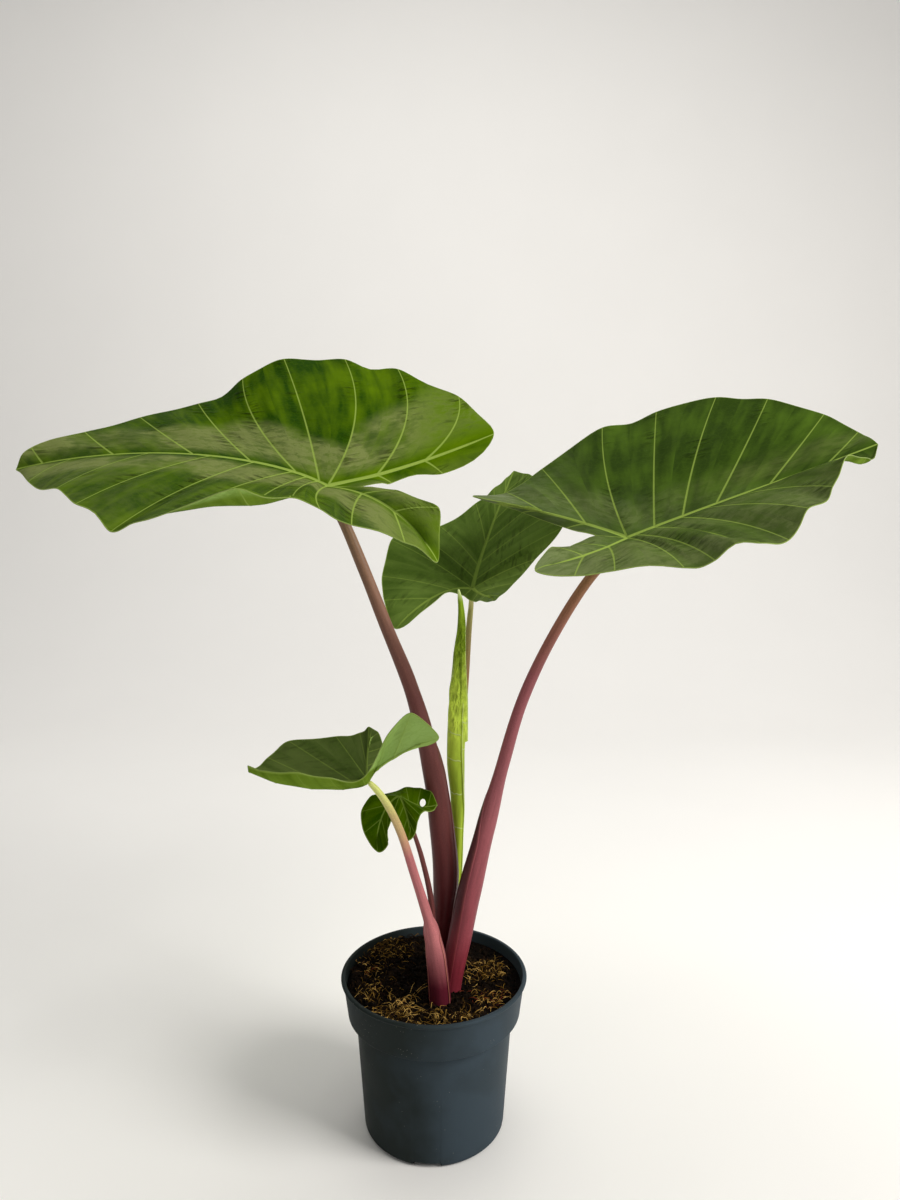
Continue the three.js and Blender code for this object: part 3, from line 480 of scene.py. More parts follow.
def build_blade(leaf, columns, rib_size, vein_size, bulge, thickness, materials):
    """A whole blade: upper face, underside and rim wall.

    Both half-blades share the points of the midrib and of the lobes' ribs. The sheet bulges between its veins
    by sin^2(pi s) sin(pi t). Its upper face sinks at the veins and its underside stands out there, each by a
    bell curve of the distance from the line.
    """
    t = blade_columns(columns)
    sheets = []
    for half, (s, root) in zip(leaf["halves"], blade_rows(leaf)):
        points = vein_points(leaf, half, s, root, t)
        sheets.append((s, root, points, *line_distances(points, s, t, leaf, half, root)))
    stacked = np.concatenate([sheet[2].reshape(-1, 3) for sheet in sheets])
    first, number = merged(stacked)
    count, offset = len(first), 0
    place = np.zeros((count, 3))
    place[number] = stacked
    bulged, sunk, ridge = np.zeros((3, count))
    corner = lambda grid: np.stack([grid[:-1, :-1], grid[1:, :-1], grid[1:, 1:], grid[:-1, 1:]], -1)
    triangles, held = [], []
    for s, root, points, across, vein, rib, margin in sheets:
        index = number[offset : offset + len(s) * columns].reshape(-1, columns)
        offset += index.size
        main = rib_size * (1 - 0.72 * root)
        lobe = rib_size * (0.72 - 0.5 * rib_place(s))
        blend = smooth((s - 5.2) / 0.8)
        rib_width = (lobe * (1 - blend) + main * blend)[:, None] * (1 - 0.6 * t)
        vein_width = vein_size * (1 - 0.7 * t)
        gap = np.abs(np.vstack([across[:1, 0], across[:, 1]]))
        gap[np.isclose(s, np.round(s))] = 0
        on_vein = np.exp(-((gap / (1.5 * vein_width)) ** 2)) * (1 - 0.7 * t)
        on_main = np.exp(-((rib / (1.2 * rib_width)) ** 2)) * rib_width
        spread = np.minimum(1, margin / RELIEF_FADE)
        wave = np.sin(np.pi * s)[:, None] ** 2
        bulged[index] = bulge * wave * np.sin(np.pi * t) * np.minimum(1, rib / BULGE_FADE)
        sunk[index] = spread * (VEIN_DEPTH * vein_width * on_vein + RIB_DEPTH * on_main)
        ridge[index] = spread * (VEIN_HEIGHT * vein_width * on_vein + RIB_HEIGHT * on_main)
        lengthwise = corner(np.linalg.norm(points - points[:, :1], axis=-1)) + VEIN_SHIFT * vein[:, None, None]
        cross = np.stack([across[:, 0, :-1], across[:, 1, :-1], across[:, 1, 1:], across[:, 0, 1:]], -1)
        widths = corner(np.broadcast_to(vein_width, index.shape))
        values = np.stack([lengthwise, cross, widths, corner(rib), corner(margin), corner(rib_width)], -1)
        picks = ([0, 1, 2], [0, 2, 3])
        strip = np.concatenate([corner(index)[..., pick].reshape(-1, 3) for pick in picks])
        value = np.concatenate([values[..., pick, :].reshape(-1, 3, 6) for pick in picks])
        turned_down = (area_vectors(place, strip).sum(0) * leaf["up"]).sum() < 0
        triangles.append(strip[:, ::-1] if turned_down else strip)
        held.append(value[:, ::-1] if turned_down else value)
    triangles, held = np.concatenate(triangles), np.concatenate(held)
    kept = unflat(triangles)
    if "hole" in leaf:
        centre, radius, behind = leaf["hole"]
        middle = place[triangles].mean(axis=1)
        kept &= (np.linalg.norm(middle[:, [0, 2]] - centre, axis=1) > radius) | (middle[:, 1] < behind)
    triangles, held = triangles[kept], held[kept]
    rim = rim_edges(triangles)
    if "hole" in leaf:
        near = np.unique(rim)
        near = near[np.linalg.norm(place[near][:, [0, 2]] - centre, axis=1) < 1.6 * radius]
        near = near[place[near][:, 1] > behind]
        place[np.ix_(near, [0, 2])] = radius * unit(place[near][:, [0, 2]] - centre) + centre
    place = place + area_normals(place, triangles) * bulged[:, None]
    normals = area_normals(place, triangles)
    above = place - normals * sunk[:, None]
    below = place - normals * (thickness + ridge)[:, None]
    a, b = rim.T
    wall = np.stack([a, a + count, b + count, b], -1)
    held = [held.reshape(-1, 6), held[:, ::-1].reshape(-1, 6), np.tile(ON_THE_WALL, (4 * len(wall), 1))]
    held = np.concatenate(held)
    faces = [np.concatenate([triangles, triangles[:, ::-1] + count]), wall]
    points, faces = drop_unused(np.concatenate([above, below]), faces)
    kinds = np.repeat([0, 1, 2], [len(triangles), len(triangles), len(wall)])
    corners = {"lines": held[:, :3], "edges": held[:, 3:]}
    node = leaf["name"]
    add_piece(node + "_blade", points, faces, materials, (node,), kinds, corners, crease=60)


# Turned and carried surfaces
def turned(profile, angles):
    """A profile of (radius, height) carried round the Z axis."""
    profile = np.asarray(profile, float)
    radius, height = profile[:, 0, None], profile[:, 1, None]
    return np.stack([radius * np.cos(angles), radius * np.sin(angles), height + 0 * angles], -1)


def rounded(profile, amount, steps=5):
    """The profile with each inner corner cut back by up to amount and bridged by a quadratic Bezier."""
    profile = np.asarray(profile, float)
    parts = [profile[:1]]
    for before, here, after in zip(profile, profile[1:], profile[2:]):
        back, ahead = before - here, after - here
        cut = min(amount, np.linalg.norm(back) * 0.45, np.linalg.norm(ahead) * 0.45)
        bridge = [here + unit(back) * cut, here, here + unit(ahead) * cut]
        parts.append(bezier(bridge, np.linspace(0, 1, steps)))
    return np.concatenate(parts + [profile[-1:]])


def build_stalk(name, node, rings, sides, relief, skin):
    """A tube round the centre line of the node's stations, domed at both ends.

    relief gives, for each ring's height, the angles of the sides, what each adds to the radius, and how far it
    lies inside the edge of the layer that wraps the stalk. Angle 0 is to +X and 90 degrees to the back.
    """
    stations = np.array(STALKS[node], float)
    u = np.linspace(0, len(stations) - 1, rings)
    centre = spline(stations[:, :3], u, even=False)
    i = np.clip(np.floor(u).astype(int), 0, len(stations) - 2)
    radius = stations[i, 3] + (stations[i + 1, 3] - stations[i, 3]) * smooth(u - i)
    along = unit(np.gradient(centre, axis=0))
    right = unit(np.array([1.0, 0, 0]) - along * along[:, :1])
    back = np.cross(along, right)
    angles, extra, inside = relief(centre[:, 2], radius, sides)
    to_end = np.minimum(np.arange(rings), np.arange(rings)[::-1])
    dome = np.where(to_end > 2, 1, np.sqrt(np.clip(1 - (1 - to_end / 3) ** 2, 0.05, 1)))
    reach = (radius[:, None] + extra) * dome[:, None]
    outward = right[:, None] * np.cos(angles)[..., None] + back[:, None] * np.sin(angles)[..., None]
    points = (centre[:, None] + outward * reach[..., None]).reshape(-1, 3)
    length = np.concatenate([[0], np.cumsum(np.linalg.norm(np.diff(centre, axis=0), axis=1))])
    # A place on a straight tube of 12 mm radius stands for the place on the stalk
    straight = np.stack([np.cos(angles) * 12, np.sin(angles) * 12, length[:, None] + 0 * angles], -1)
    straight = np.vstack([straight.reshape(-1, 3), [[0, 0, 0]], [[0, 0, length[-1]]]])
    inside = np.append(inside.ravel(), [0.0, 0.0])
    j, count = np.arange(sides), rings * sides
    k = (j + 1) % sides
    foot = np.stack([k, j, np.full(sides, count)], -1)
    head = np.stack([j + count - sides, k + count - sides, np.full(sides, count + 1)], -1)
    faces = [grid_faces(rings, sides, wrap=True), np.concatenate([foot, head])]
    order = np.concatenate([f.ravel() for f in faces])
    corners = {"stalk": straight[order], "wrap": inside[order]}
    points = np.vstack([points, centre[:1], centre[-1:]])
    add_piece(name, points, faces, [skin], (node,), None, corners, crease=55)


def sheathed(centre_angle, widths, step):
    """A layer wrapped round a stalk up to its top: half its width in degrees by height, and how far it stands out.

    Half of the sides lie on the layer and half beside it, so that its edges stay sharp.
    """
    heights, spread = np.array(widths, float).T

    def relief(z, radius, sides):
        half = np.radians(np.interp(z, heights, spread))[:, None]
        on = np.linspace(-1, 1, sides // 2)
        off = np.linspace(0, 1, sides - sides // 2)
        brink = 0.35 / radius[:, None]
        angles = np.hstack([on * half, half + brink + off * (2 * np.pi - 2 * half - 2 * brink)])
        grown = smooth((heights[-1] - z) / 10)[:, None]
        lip = 0.6 + 0.4 * np.abs(on) ** 6
        extra = np.hstack([step * grown * lip, np.zeros((len(z), len(off)))])
        reach = np.hstack([(1 - np.abs(on)) * half, -off * (1 - off) * 4 * (np.pi - half)]) * radius[:, None]
        return angles + np.radians(centre_angle), extra, reach * (grown > 0) + FAR_OUTSIDE * (grown <= 0)

    return relief


def bare(z, radius, sides):
    """A stalk without a wrapping layer, faintly fluted: 0.03 of the radius by cos(5 angle)."""
    angles = np.linspace(0, 2 * np.pi, sides, endpoint=False) + 0 * z[:, None]
    return angles, 0.03 * radius[:, None] * np.cos(5 * angles), np.full(angles.shape, FAR_OUTSIDE)


def rolled(edge_angle, step):
    """A blade rolled round itself: the radius falls evenly by the step on the way round from its free edge.

    The edge sways by 0.25 sin(z / 38), and above z = 395 two waves round the roll crumple it by up to 0.09 of
    the radius.
    """

    def relief(z, radius, sides):
        lean = np.radians(edge_angle) + 0.25 * np.sin(z / 38.0)[:, None]
        turn = np.linspace(0, 1, sides)
        angles = lean + turn * (2 * np.pi - 0.3 / radius[:, None])
        bent = np.sin(angles * 3 + z[:, None] / 9.0) + 0.7 * np.sin(angles * 4 - z[:, None] / 4.5)
        crumple = 0.055 * radius[:, None] * bent * smooth((z - 395) / 40)[:, None]
        extra = crumple + np.minimum(step, 0.2 * radius[:, None]) * (1 - turn - 0.5)
        return angles, extra, turn * 2 * np.pi * radius[:, None]

    return relief


def sheet(top, thickness):
    """A closed sheet from its upper grid of points: a second grid beneath it, and walls round the edge."""
    rows, columns = top.shape[:2]
    quads = grid_faces(rows, columns)
    points = top.reshape(-1, 3)
    below = points - area_normals(points, np.concatenate([quads[:, :3], quads[:, [0, 2, 3]]])) * thickness
    index = np.arange(rows * columns).reshape(rows, columns)
    ring = np.concatenate([index[0], index[1:, -1], index[-1, -2::-1], index[-2:0:-1, 0]])
    after = np.roll(ring, -1)
    wall = np.stack([after, ring, ring + len(points), after + len(points)], -1)
    return np.vstack([points, below]), np.concatenate([quads, quads[:, ::-1] + len(points), wall])


def build_flap(thickness, skin):
    """The rolled leaf's loose outer edge: a strip down its right side, cut straight across at the foot.

    u runs down it and v out from the roll. The edge stands at x = 32 + 2.3 smooth(1.6 u), and the strip waves
    to the front and back by 1.2 v sin(7 u + 1).
    """
    u, v = np.meshgrid(np.linspace(0, 1, 48), np.linspace(0, 1, 8), indexing="ij")
    x = 28 + (4 + 2.3 * smooth(1.6 * u)) * v
    y = 19 + 5 * v**2 + 1.2 * v * np.sin(7 * u + 1)
    top = np.stack([x, y, 486 - 94 * u], -1)
    points, quads = sheet(top, thickness)
    order = quads.ravel()
    corners = {"stalk": np.tile(top.reshape(-1, 3), (2, 1))[order], "wrap": np.tile((5 * (1 - v)).ravel(), 2)[order]}
    add_piece("rolled_flap", points, [quads], [skin], (), None, corners, crease=50)


# Materials
def colour(red, green, blue):
    """A colour of 0 to 255 a channel as the linear values that shaders use."""
    c = np.array([red, green, blue]) / 255
    linear = np.where(c <= 0.04045, c / 12.92, ((c + 0.055) / 1.055) ** 2.4)
    return (*linear.tolist(), 1.0)


def halfway(a, b):
    """The colour in the middle between two."""
    return tuple((p + q) / 2 for p, q in zip(a, b))


def dimmed(tint, amount):
    """The colour made darker by a factor."""
    return (*(c * amount for c in tuple(tint)[:3]), 1.0)


class Finish:
    """A material in the making: each method adds a node and returns its output."""

    def __init__(self, name, roughness, gloss=0.5, gloss_tint=(1.0, 1.0, 1.0, 1.0)):
        self.material = bpy.data.materials.new(name)
        self.material.use_nodes = True
        self.tree = self.material.node_tree
        self.shader = self.tree.nodes["Principled BSDF"]
        self.object_place = self.tree.nodes.new("ShaderNodeTexCoord").outputs["Object"]
        self.shader.inputs["Roughness"].default_value = roughness
        self.shader.inputs["Specular IOR Level"].default_value = gloss
        self.shader.inputs["Specular Tint"].default_value = gloss_tint

    def done(self, tint, normal=None, roughness=None):
        """The material, with these outputs led to the shader."""
        for key, value in (("Base Color", tint), ("Normal", normal), ("Roughness", roughness)):
            if value is not None:
                self.tree.links.new(value, self.shader.inputs[key])
        return self.material

    def add(self, kind, inputs, output=0, **settings):
        node = self.tree.nodes.new("ShaderNode" + kind)
        for key, value in settings.items():
            setattr(node, key, value)
        for key, value in inputs.items():
            if isinstance(value, bpy.types.NodeSocket):
                self.tree.links.new(value, node.inputs[key])
            elif value is not None:
                node.inputs[key].default_value = value
        return node.outputs[output]

    def math(self, operation, a, b=None):
        return self.add("Math", {0: a, 1: b}, operation=operation)

    def times(self, a, b):
        return self.math("MULTIPLY", a, b)

    def plus(self, a, b):
        return self.math("ADD", a, b)

    def most(self, first, *others):
        """The largest of the values."""
        for other in others:
            first = self.math("MAXIMUM", first, other)
        return first

    def within(self, value, low, high, start=0.0, end=1.0, blend="SMOOTHSTEP"):
        """start below low, end above high and a smooth blend between."""
        inputs = {"Value": value, "From Min": low, "From Max": high, "To Min": start, "To Max": end}
        return self.add("MapRange", inputs, interpolation_type=blend)

    def evenly(self, value, low, high, start=0.0, end=1.0):
        """As within, with a straight blend."""
        return self.within(value, low, high, start, end, "LINEAR")

    def band(self, value, none, full, still_full, gone):
        """1 from full to still_full, and 0 up to none and beyond gone."""
        return self.times(self.within(value, none, full), self.within(value, still_full, gone, 1.0, 0.0))

    def shaded(self, tint, amount):
        """The colour made darker or lighter by a factor."""
        return self.add("VectorMath", {0: tint, "Scale": amount}, operation="SCALE")

    def mix(self, factor, a, b):
        return self.add("Mix", {0: factor, 6: a, 7: b}, output=2, data_type="RGBA")

    def ramp(self, factor, *stops):
        node = self.tree.nodes.new("ShaderNodeValToRGB")
        self.tree.links.new(factor, node.inputs[0])
        elements = node.color_ramp.elements
        for i, (position, tint) in enumerate(stops):
            element = elements[i] if i < 2 else elements.new(position)
            element.position, element.color = position, tuple(tint)
        return node.outputs[0]

    def height_ramp(self, height, stops):
        """A ramp from (height in millimetres, colour)."""
        low, span = stops[0][0], stops[-1][0] - stops[0][0]
        place = self.evenly(height, low * MM, (low + span) * MM)
        return self.ramp(place, *[((z - low) / span, tint) for z, tint in stops])

    def noise(self, scale, detail=2.0, roughness=0.5, place=None):
        inputs = {"Vector": place or self.object_place, "Scale": scale, "Detail": detail, "Roughness": roughness}
        return self.add("TexNoise", inputs)

    def cells(self, scale, place=None, feature="F1"):
        return self.add("TexVoronoi", {"Vector": place or self.object_place, "Scale": scale}, feature=feature)

    def stretched(self, place, x, y, z):
        return self.add("Mapping", {"Vector": place, "Scale": (x, y, z)})

    def named(self, name):
        """The three parts of the mesh attribute of that name, and the whole of it."""
        node = self.tree.nodes.new("ShaderNodeAttribute")
        node.attribute_name = name
        split = self.tree.nodes.new("ShaderNodeSeparateXYZ")
        self.tree.links.new(node.outputs["Vector"], split.inputs[0])
        return *split.outputs, node.outputs["Vector"]

    def axis(self, which):
        """The object's own X (0), Y (1) or Z (2) in metres."""
        return self.add("SeparateXYZ", {0: self.object_place}, output=which)

    def bump(self, height, distance, normal=None):
        return self.add("Bump", {"Height": height, "Distance": distance, "Strength": 1.0, "Normal": normal})


# Next to no gloss: a pale studio lies on the leaves as a grey veil
LEAF_GLOSS = 0.004
LEAF_GLOSS_TINT = (0.9, 1.0, 0.5, 1.0)
ALONG_THE_RIB = 3
LEAF_GRAIN, UNDERSIDE_GRAIN = 0.07, 0.12


def blade_finish(name, tints, roughness, pucker, grain, veins, painted_sheens_and_patches):
    """A leaf's skin: green clouds and streaks between pale veins, a pale margin, and puckers beside the veins.

    pucker and grain are the heights of the puckers and of the skin's grain in millimetres, and veins is how
    strongly the veins show. The puckers' dark strokes are painted shade. Each patch in the last argument is
    (tint, strength, axis, none, full) and grows in clouds from none to full along that axis. Those in the olive
    and grey green sheen tints are painted sheen, a reflection laid into the colour; the others are paler or
    lighter green. Axis 3 stands for the distance from the rib in millimetres: there the patch fades in at none
    and out again at full.
    """
    skin = Finish(name, roughness, LEAF_GLOSS, LEAF_GLOSS_TINT)
    deep, middle, light, pale = tints
    _, across, vein_width, lines = skin.named("lines")
    rib, margin, rib_width, _ = skin.named("edges")
    gap = skin.math("ABSOLUTE", across)
    clouds = skin.noise(11.0, 4.0, 0.55)
    streaks = skin.noise(1.0, 2.0, 0.5, skin.stretched(lines, 0.012, 0.07, 0.0))
    shade = skin.plus(skin.times(clouds, 0.5), skin.times(streaks, 0.5))
    base = skin.ramp(shade, (0.43, deep), (0.53, middle), (0.63, light))
    wrinkles = skin.noise(1.0, 4.0, 0.65, skin.stretched(lines, 0.1, 0.07, 0.0))
    # Painted sheen: most patches lay a grey olive reflection into the colour, in clouds broken by the wrinkles
    for tint, strength, axis, none, full in painted_sheens_and_patches:
        if axis == ALONG_THE_RIB:
            place = skin.band(rib, none, none + 20, full, full + 26)
        else:
            place = skin.within(skin.axis(axis), none, full)
        drift = skin.within(skin.noise(9.0, 4.0, 0.6), 0.38, 0.52, 0.35 * strength, strength)
        drift = skin.times(drift, skin.within(wrinkles, 0.4, 0.58, 0.55, 1.0))
        base = skin.mix(skin.times(place, drift), base, tint)
    ripple = skin.noise(1.0, 3.0, 0.55, skin.stretched(lines, 0.17, 0.045, 0.0))
    near = skin.times(skin.within(gap, 0.0, 18.0, 1.0, 0.1), skin.within(rib, 4.0, 16.0))
    puckers = skin.times(near, skin.within(skin.noise(17.0, 2.0), 0.44, 0.58, 0.12, 1.0))
    # Painted shade: dark strokes where the puckers rise, darkening the green beside the veins
    painted_pucker_shade = skin.times(skin.within(ripple, 0.5, 0.6), puckers)
    base = skin.shaded(base, skin.evenly(painted_pucker_shade, 0.0, 1.0, 1.0, 1.0 - 0.23 * pucker))
    base = skin.mix(skin.within(gap, 1.0, 9.0, 0.16, 0.0), base, light)
    mesh = skin.cells(1.0, skin.stretched(lines, 0.16, 0.16, 0.0), "DISTANCE_TO_EDGE")
    base = skin.mix(skin.within(mesh, 0.0, 0.09, 0.16, 0.0), base, light)
    on_vein = skin.within(gap, skin.times(vein_width, 0.5), skin.plus(vein_width, 0.5), veins, 0.0)
    strong = min(1.0, veins + 0.2)
    on_rib = skin.within(rib, skin.times(rib_width, 0.8), skin.plus(rib_width, 0.8), strong, 0.0)
    on_margin = skin.within(margin, 0.5, 1.3, 0.6, 0.0)
    base = skin.mix(skin.most(on_vein, on_rib, on_margin), base, pale)
    swell = skin.plus(skin.times(ripple, puckers), skin.times(skin.noise(36.0, 1.0), 0.4))
    pores = skin.times(skin.within(mesh, 0.0, 0.12), 0.7)
    pores = skin.plus(pores, skin.times(skin.noise(900.0, 2.0, 0.6), 0.5))
    normal = skin.bump(pores, grain * MM, skin.bump(swell, pucker * MM))
    return skin.done(base, normal, skin.within(clouds, 0.3, 0.7, roughness - 0.05, roughness + 0.08))


def rim_finish(name, pale):
    """The thin pale edge of a leaf."""
    edge = Finish(name, 0.5)
    return edge.done(edge.mix(edge.noise(60.0), pale, dimmed(pale, 0.8)))


def stalk_finish(name, stops, brink, line=0.0, shadow=0.0):
    """A stalk's skin: colours by height with long streaks and freckles.

    line is the strength of the brink's colour along the sheath's edge, and shadow how much the sheath is darkened
    by painted shadow, which is a fifth of that below 195 mm.
    """
    skin = Finish(name, 0.42, 0.16)
    height = skin.axis(2)
    wander = skin.times(skin.math("SUBTRACT", skin.noise(28.0, 3.0), 0.5), 0.030)
    base = skin.height_ramp(skin.plus(height, wander), stops)
    lines, wrap = skin.named("stalk")[3], skin.named("wrap")[0]
    # Painted shadow: the sheath darkened as if shaded, a fifth as much below 195 mm
    painted_shadow = skin.within(wrap, -1.0, 3.0, 0.0, shadow)
    painted_shadow = skin.times(painted_shadow, skin.within(height, 0.195, 0.24, 0.2, 1.0))
    base = skin.shaded(base, skin.evenly(painted_shadow, 0.0, 1.0, 1.0, 0.0))
    streaks = skin.noise(1.0, 3.0, 0.6, skin.stretched(lines, 0.22, 0.22, 0.02))
    base = skin.shaded(base, skin.within(streaks, 0.3, 0.7, 0.86, 1.12))
    spots = skin.noise(1500.0, 1.0, 0.5)
    base = skin.shaded(base, skin.within(spots, 0.58, 0.72, 1.0, 0.75))
    base = skin.shaded(base, skin.within(spots, 0.28, 0.42, 1.25, 1.0))
    base = skin.mix(skin.times(skin.band(wrap, 0.0, 0.3, 0.7, 1.4), line), base, brink)
    normal = skin.bump(skin.times(spots, 0.4), 0.1 * MM)
    return skin.done(base, normal, skin.within(streaks, 0.3, 0.7, 0.36, 0.5))


# How light the rolled leaf is by height, and the heights where a pale vein runs round it
ROLL_BRIGHTNESS = [
    (300, 0.58), (345, 0.42), (375, 0.6), (410, 1.0), (445, 0.86), (470, 0.48), (497, 0.18), (530, 0.2),
]  # fmt: skip
ROLL_VEINS = (0.312, 0.350, 0.3885, 0.416)


def rolled_finish(name, deep, light, pale):
    """The rolled leaf: greens by height, pale slanting veins round it, soft facets above with painted shade in their
    hollows and painted highlights on their ridges, and a pale tip.
    """
    skin = Finish(name, 0.4, 0.08, LEAF_GLOSS_TINT)
    height = skin.axis(2)
    lines, wrap = skin.named("stalk")[3], skin.named("wrap")[0]
    share = skin.height_ramp(height, [(z, (share, share, share, 1.0)) for z, share in ROLL_BRIGHTNESS])
    mottle = skin.noise(1.0, 3.0, 0.6, skin.stretched(lines, 0.1, 0.1, 0.03))
    base = skin.shaded(skin.mix(share, deep, light), skin.within(mottle, 0.35, 0.65, 0.84, 1.1))
    base = skin.mix(skin.within(height, 0.535, 0.547), base, pale)
    slant = skin.plus(skin.plus(height, skin.times(wrap, 0.00022)), skin.times(mottle, 0.006))
    off = [skin.math("ABSOLUTE", skin.math("SUBTRACT", slant, z)) for z in ROLL_VEINS]
    veins = skin.most(*(skin.within(distance, 0.0003, 0.0010, 1.0, 0.0) for distance in off))
    edge = skin.band(wrap, 0.0, 0.2, 0.7, 1.3)
    crumpled = skin.band(height, 0.385, 0.415, 0.505, 0.53)
    large = skin.cells(1.0, skin.stretched(lines, 0.16, 0.16, 0.1))
    small = skin.cells(1.0, skin.stretched(lines, 0.4, 0.4, 0.24))
    facets = skin.plus(large, skin.times(small, 0.35))
    # Painted light on the facets: darker in their hollows, lighter on their ridges, and 0.95 of the colour elsewhere
    painted_facet_light = skin.evenly(crumpled, 0.0, 1.0, 0.95, skin.within(facets, 0.25, 0.95, 0.8, 1.14))
    marks = skin.most(skin.times(veins, 0.6), skin.times(edge, 0.5))
    base = skin.mix(marks, skin.shaded(base, painted_facet_light), pale)
    swell = skin.plus(skin.times(facets, crumpled), skin.times(veins, 0.1))
    return skin.done(base, skin.bump(swell, 3.4 * MM))


def pot_finish(name, slate, light_and_lit_slate):
    """Moulded slate plastic: lighter to the right as painted light, faint clouds, a fine grain and a scatter of tiny
    pale specks.
    """
    shell = Finish(name, 0.5, 0.03)
    clouds = shell.noise(18.0, 3.0)
    # Painted light: the slate turns lighter towards +X, as if lit from the right
    side = shell.within(shell.axis(0), -0.06, 0.05, -0.25, 0.75)
    base = shell.mix(shell.plus(side, shell.within(clouds, 0.35, 0.65, 0.0, 0.4)), slate, light_and_lit_slate)
    specks = shell.within(shell.cells(260.0), 0.05, 0.11, 0.55, 0.0)
    specks = shell.times(specks, shell.within(shell.noise(40.0, 1.0), 0.52, 0.62))
    base = shell.mix(specks, base, colour(150, 150, 140))
    normal = shell.bump(shell.noise(1400.0, 2.0, 0.6), 0.05 * MM)
    return shell.done(base, normal, shell.within(clouds, 0.3, 0.7, 0.42, 0.54))


def soil_finish(name, dark, brown, ochre):
    """Damp potting soil: dark with brown and ochre crumbs, rough all over."""
    ground = Finish(name, 0.92, 0.05)
    crumbs = ground.noise(320.0, 4.0, 0.65)
    shade = ground.plus(ground.times(crumbs, 0.6), ground.times(ground.noise(45.0, 2.0), 0.4))
    base = ground.ramp(shade, (0.44, dark), (0.58, brown), (0.72, ochre))
    return ground.done(base, ground.bump(ground.noise(700.0, 4.0, 0.7), 0.9 * MM))


MOSS_TINTS = (
    (0.0, colour(12, 7, 4)),
    (0.42, colour(46, 28, 12)),
    (0.62, colour(140, 104, 36)),
    (0.8, colour(232, 190, 108)),
    (0.9, colour(124, 54, 30)),
    (1.0, colour(92, 34, 24)),
)


def moss_finish(name):
    """Dry moss and fibres, each strand of one tint from brown through ochre to straw, some red."""
    strand = Finish(name, 0.85, 0.1)
    base = strand.ramp(strand.named("tint")[0], *MOSS_TINTS)
    return strand.done(strand.shaded(base, strand.within(strand.noise(400.0), 0.3, 0.7, 0.75, 1.2)))


def plain_finish(name, tint):
    """A plain matte surface with the faintest mottling."""
    wall = Finish(name, 0.8, 0.2)
    return wall.done(wall.mix(wall.noise(3.0), tint, dimmed(tint, 0.97)))


# Pot
# fmt: off
POT_OUTSIDE = [
    (54, 4), (63, 4), (64, 0), (69, 0), (72, 3), (80, 117.5), (81.5, 119), (87, 119), (88, 120), (92.4, 153.8),
    (94.4, 154.8), (95, 156.4), (94.4, 157.4), (93.4, 158), (90.8, 158), (90.2, 154.8), (86.4, 121.6),
    (79.9, 120.6), (78.4, 119.1), (70.4, 8.4), (68.4, 6.4), (54, 6.4),
]
# fmt: on
POT_PAD = [(0, 0), (14, 0), (15, 4), (30, 4)]
FLOOR_TOP = 6.4
FLOOR_UNDER = 4.0
POT_SIDES = 192
HOLE_COUNT = 8
HOLE_CIRCLE = 42.0
HOLE_RADIUS = 5.0
HOLE_BELT = (30.0, 54.0)
NOTCH_TURN = -0.08
NOTCH_HALF = 13.0 / 68.0
NOTCH_HEIGHT = 5.0
FOOT_INSIDE = 60


def pot_angles():
    """Even angles round the pot, the two nearest each side of a foot notch moved to stand either side of it."""
    angles = np.arange(POT_SIDES) * 2 * np.pi / POT_SIDES
    for k in range(4):
        for side in (-1, 1):
            place = (-np.pi / 2 + NOTCH_TURN + k * np.pi / 2 + side * NOTCH_HALF) % (2 * np.pi)
            i = int(place / (2 * np.pi / POT_SIDES))
            angles[i], angles[(i + 1) % POT_SIDES] = place - 0.002, place + 0.002
    return angles


def drained_belt(angles, sector):
    """One eighth of the pot's floor round its drain hole.

    The belt's outline and the hole's circle are joined point by point along lines from the hole's centre: over
    the floor's top, down the hole's wall and back along its underside.
    """
    steps = POT_SIDES // HOLE_COUNT
    arc = angles[(sector * steps + np.arange(steps + 1)) % POT_SIDES]
    inner, outer = HOLE_BELT
    radial = np.linspace(outer, inner, 9)
    on = lambda radius, angle: np.stack([radius * np.cos(angle), radius * np.sin(angle)], -1)
    sides = [on(outer, arc[:-1]), on(radial[:-1], arc[-1]), on(inner, arc[:0:-1]), on(radial[:0:-1], arc[0])]
    outline = np.concatenate(sides)
    middle = 2 * np.pi * (sector + 0.5) / HOLE_COUNT
    centre = HOLE_CIRCLE * np.array([np.cos(middle), np.sin(middle)])
    circle = centre + HOLE_RADIUS * unit(outline - centre)
    top = [outline, (outline + circle) / 2, circle]
    rows = [(xy, FLOOR_TOP) for xy in top] + [(xy, FLOOR_UNDER) for xy in top[::-1]]
    return np.stack([np.column_stack([xy, np.full(len(xy), z)]) for xy, z in rows])


def build_pot(rounding, materials):
    """The pot: a profile turned round the Z axis with a foot cut by four notches, and a floor with drain holes."""
    angles = pot_angles()
    shell = turned(rounded(POT_OUTSIDE, rounding), angles)
    radius = np.hypot(shell[..., 0], shell[..., 1])
    turn = np.arctan2(shell[..., 1], shell[..., 0]) + np.pi / 2 - NOTCH_TURN
    off = np.abs((turn + np.pi / 4) % (np.pi / 2) - np.pi / 4)
    notched = (off < NOTCH_HALF) & (radius > FOOT_INSIDE) & (shell[..., 2] < NOTCH_HEIGHT)
    shell[..., 2] = np.where(notched, NOTCH_HEIGHT, shell[..., 2])
    grids = [shell, turned(POT_PAD, angles), turned([(30, FLOOR_TOP), (0, FLOOR_TOP)], angles)]
    grids += [drained_belt(angles, sector) for sector in range(HOLE_COUNT)]
    points, triangles = weld(grids)
    add_piece("pot_shell", points, [triangles], materials, ("pot",), crease=40)


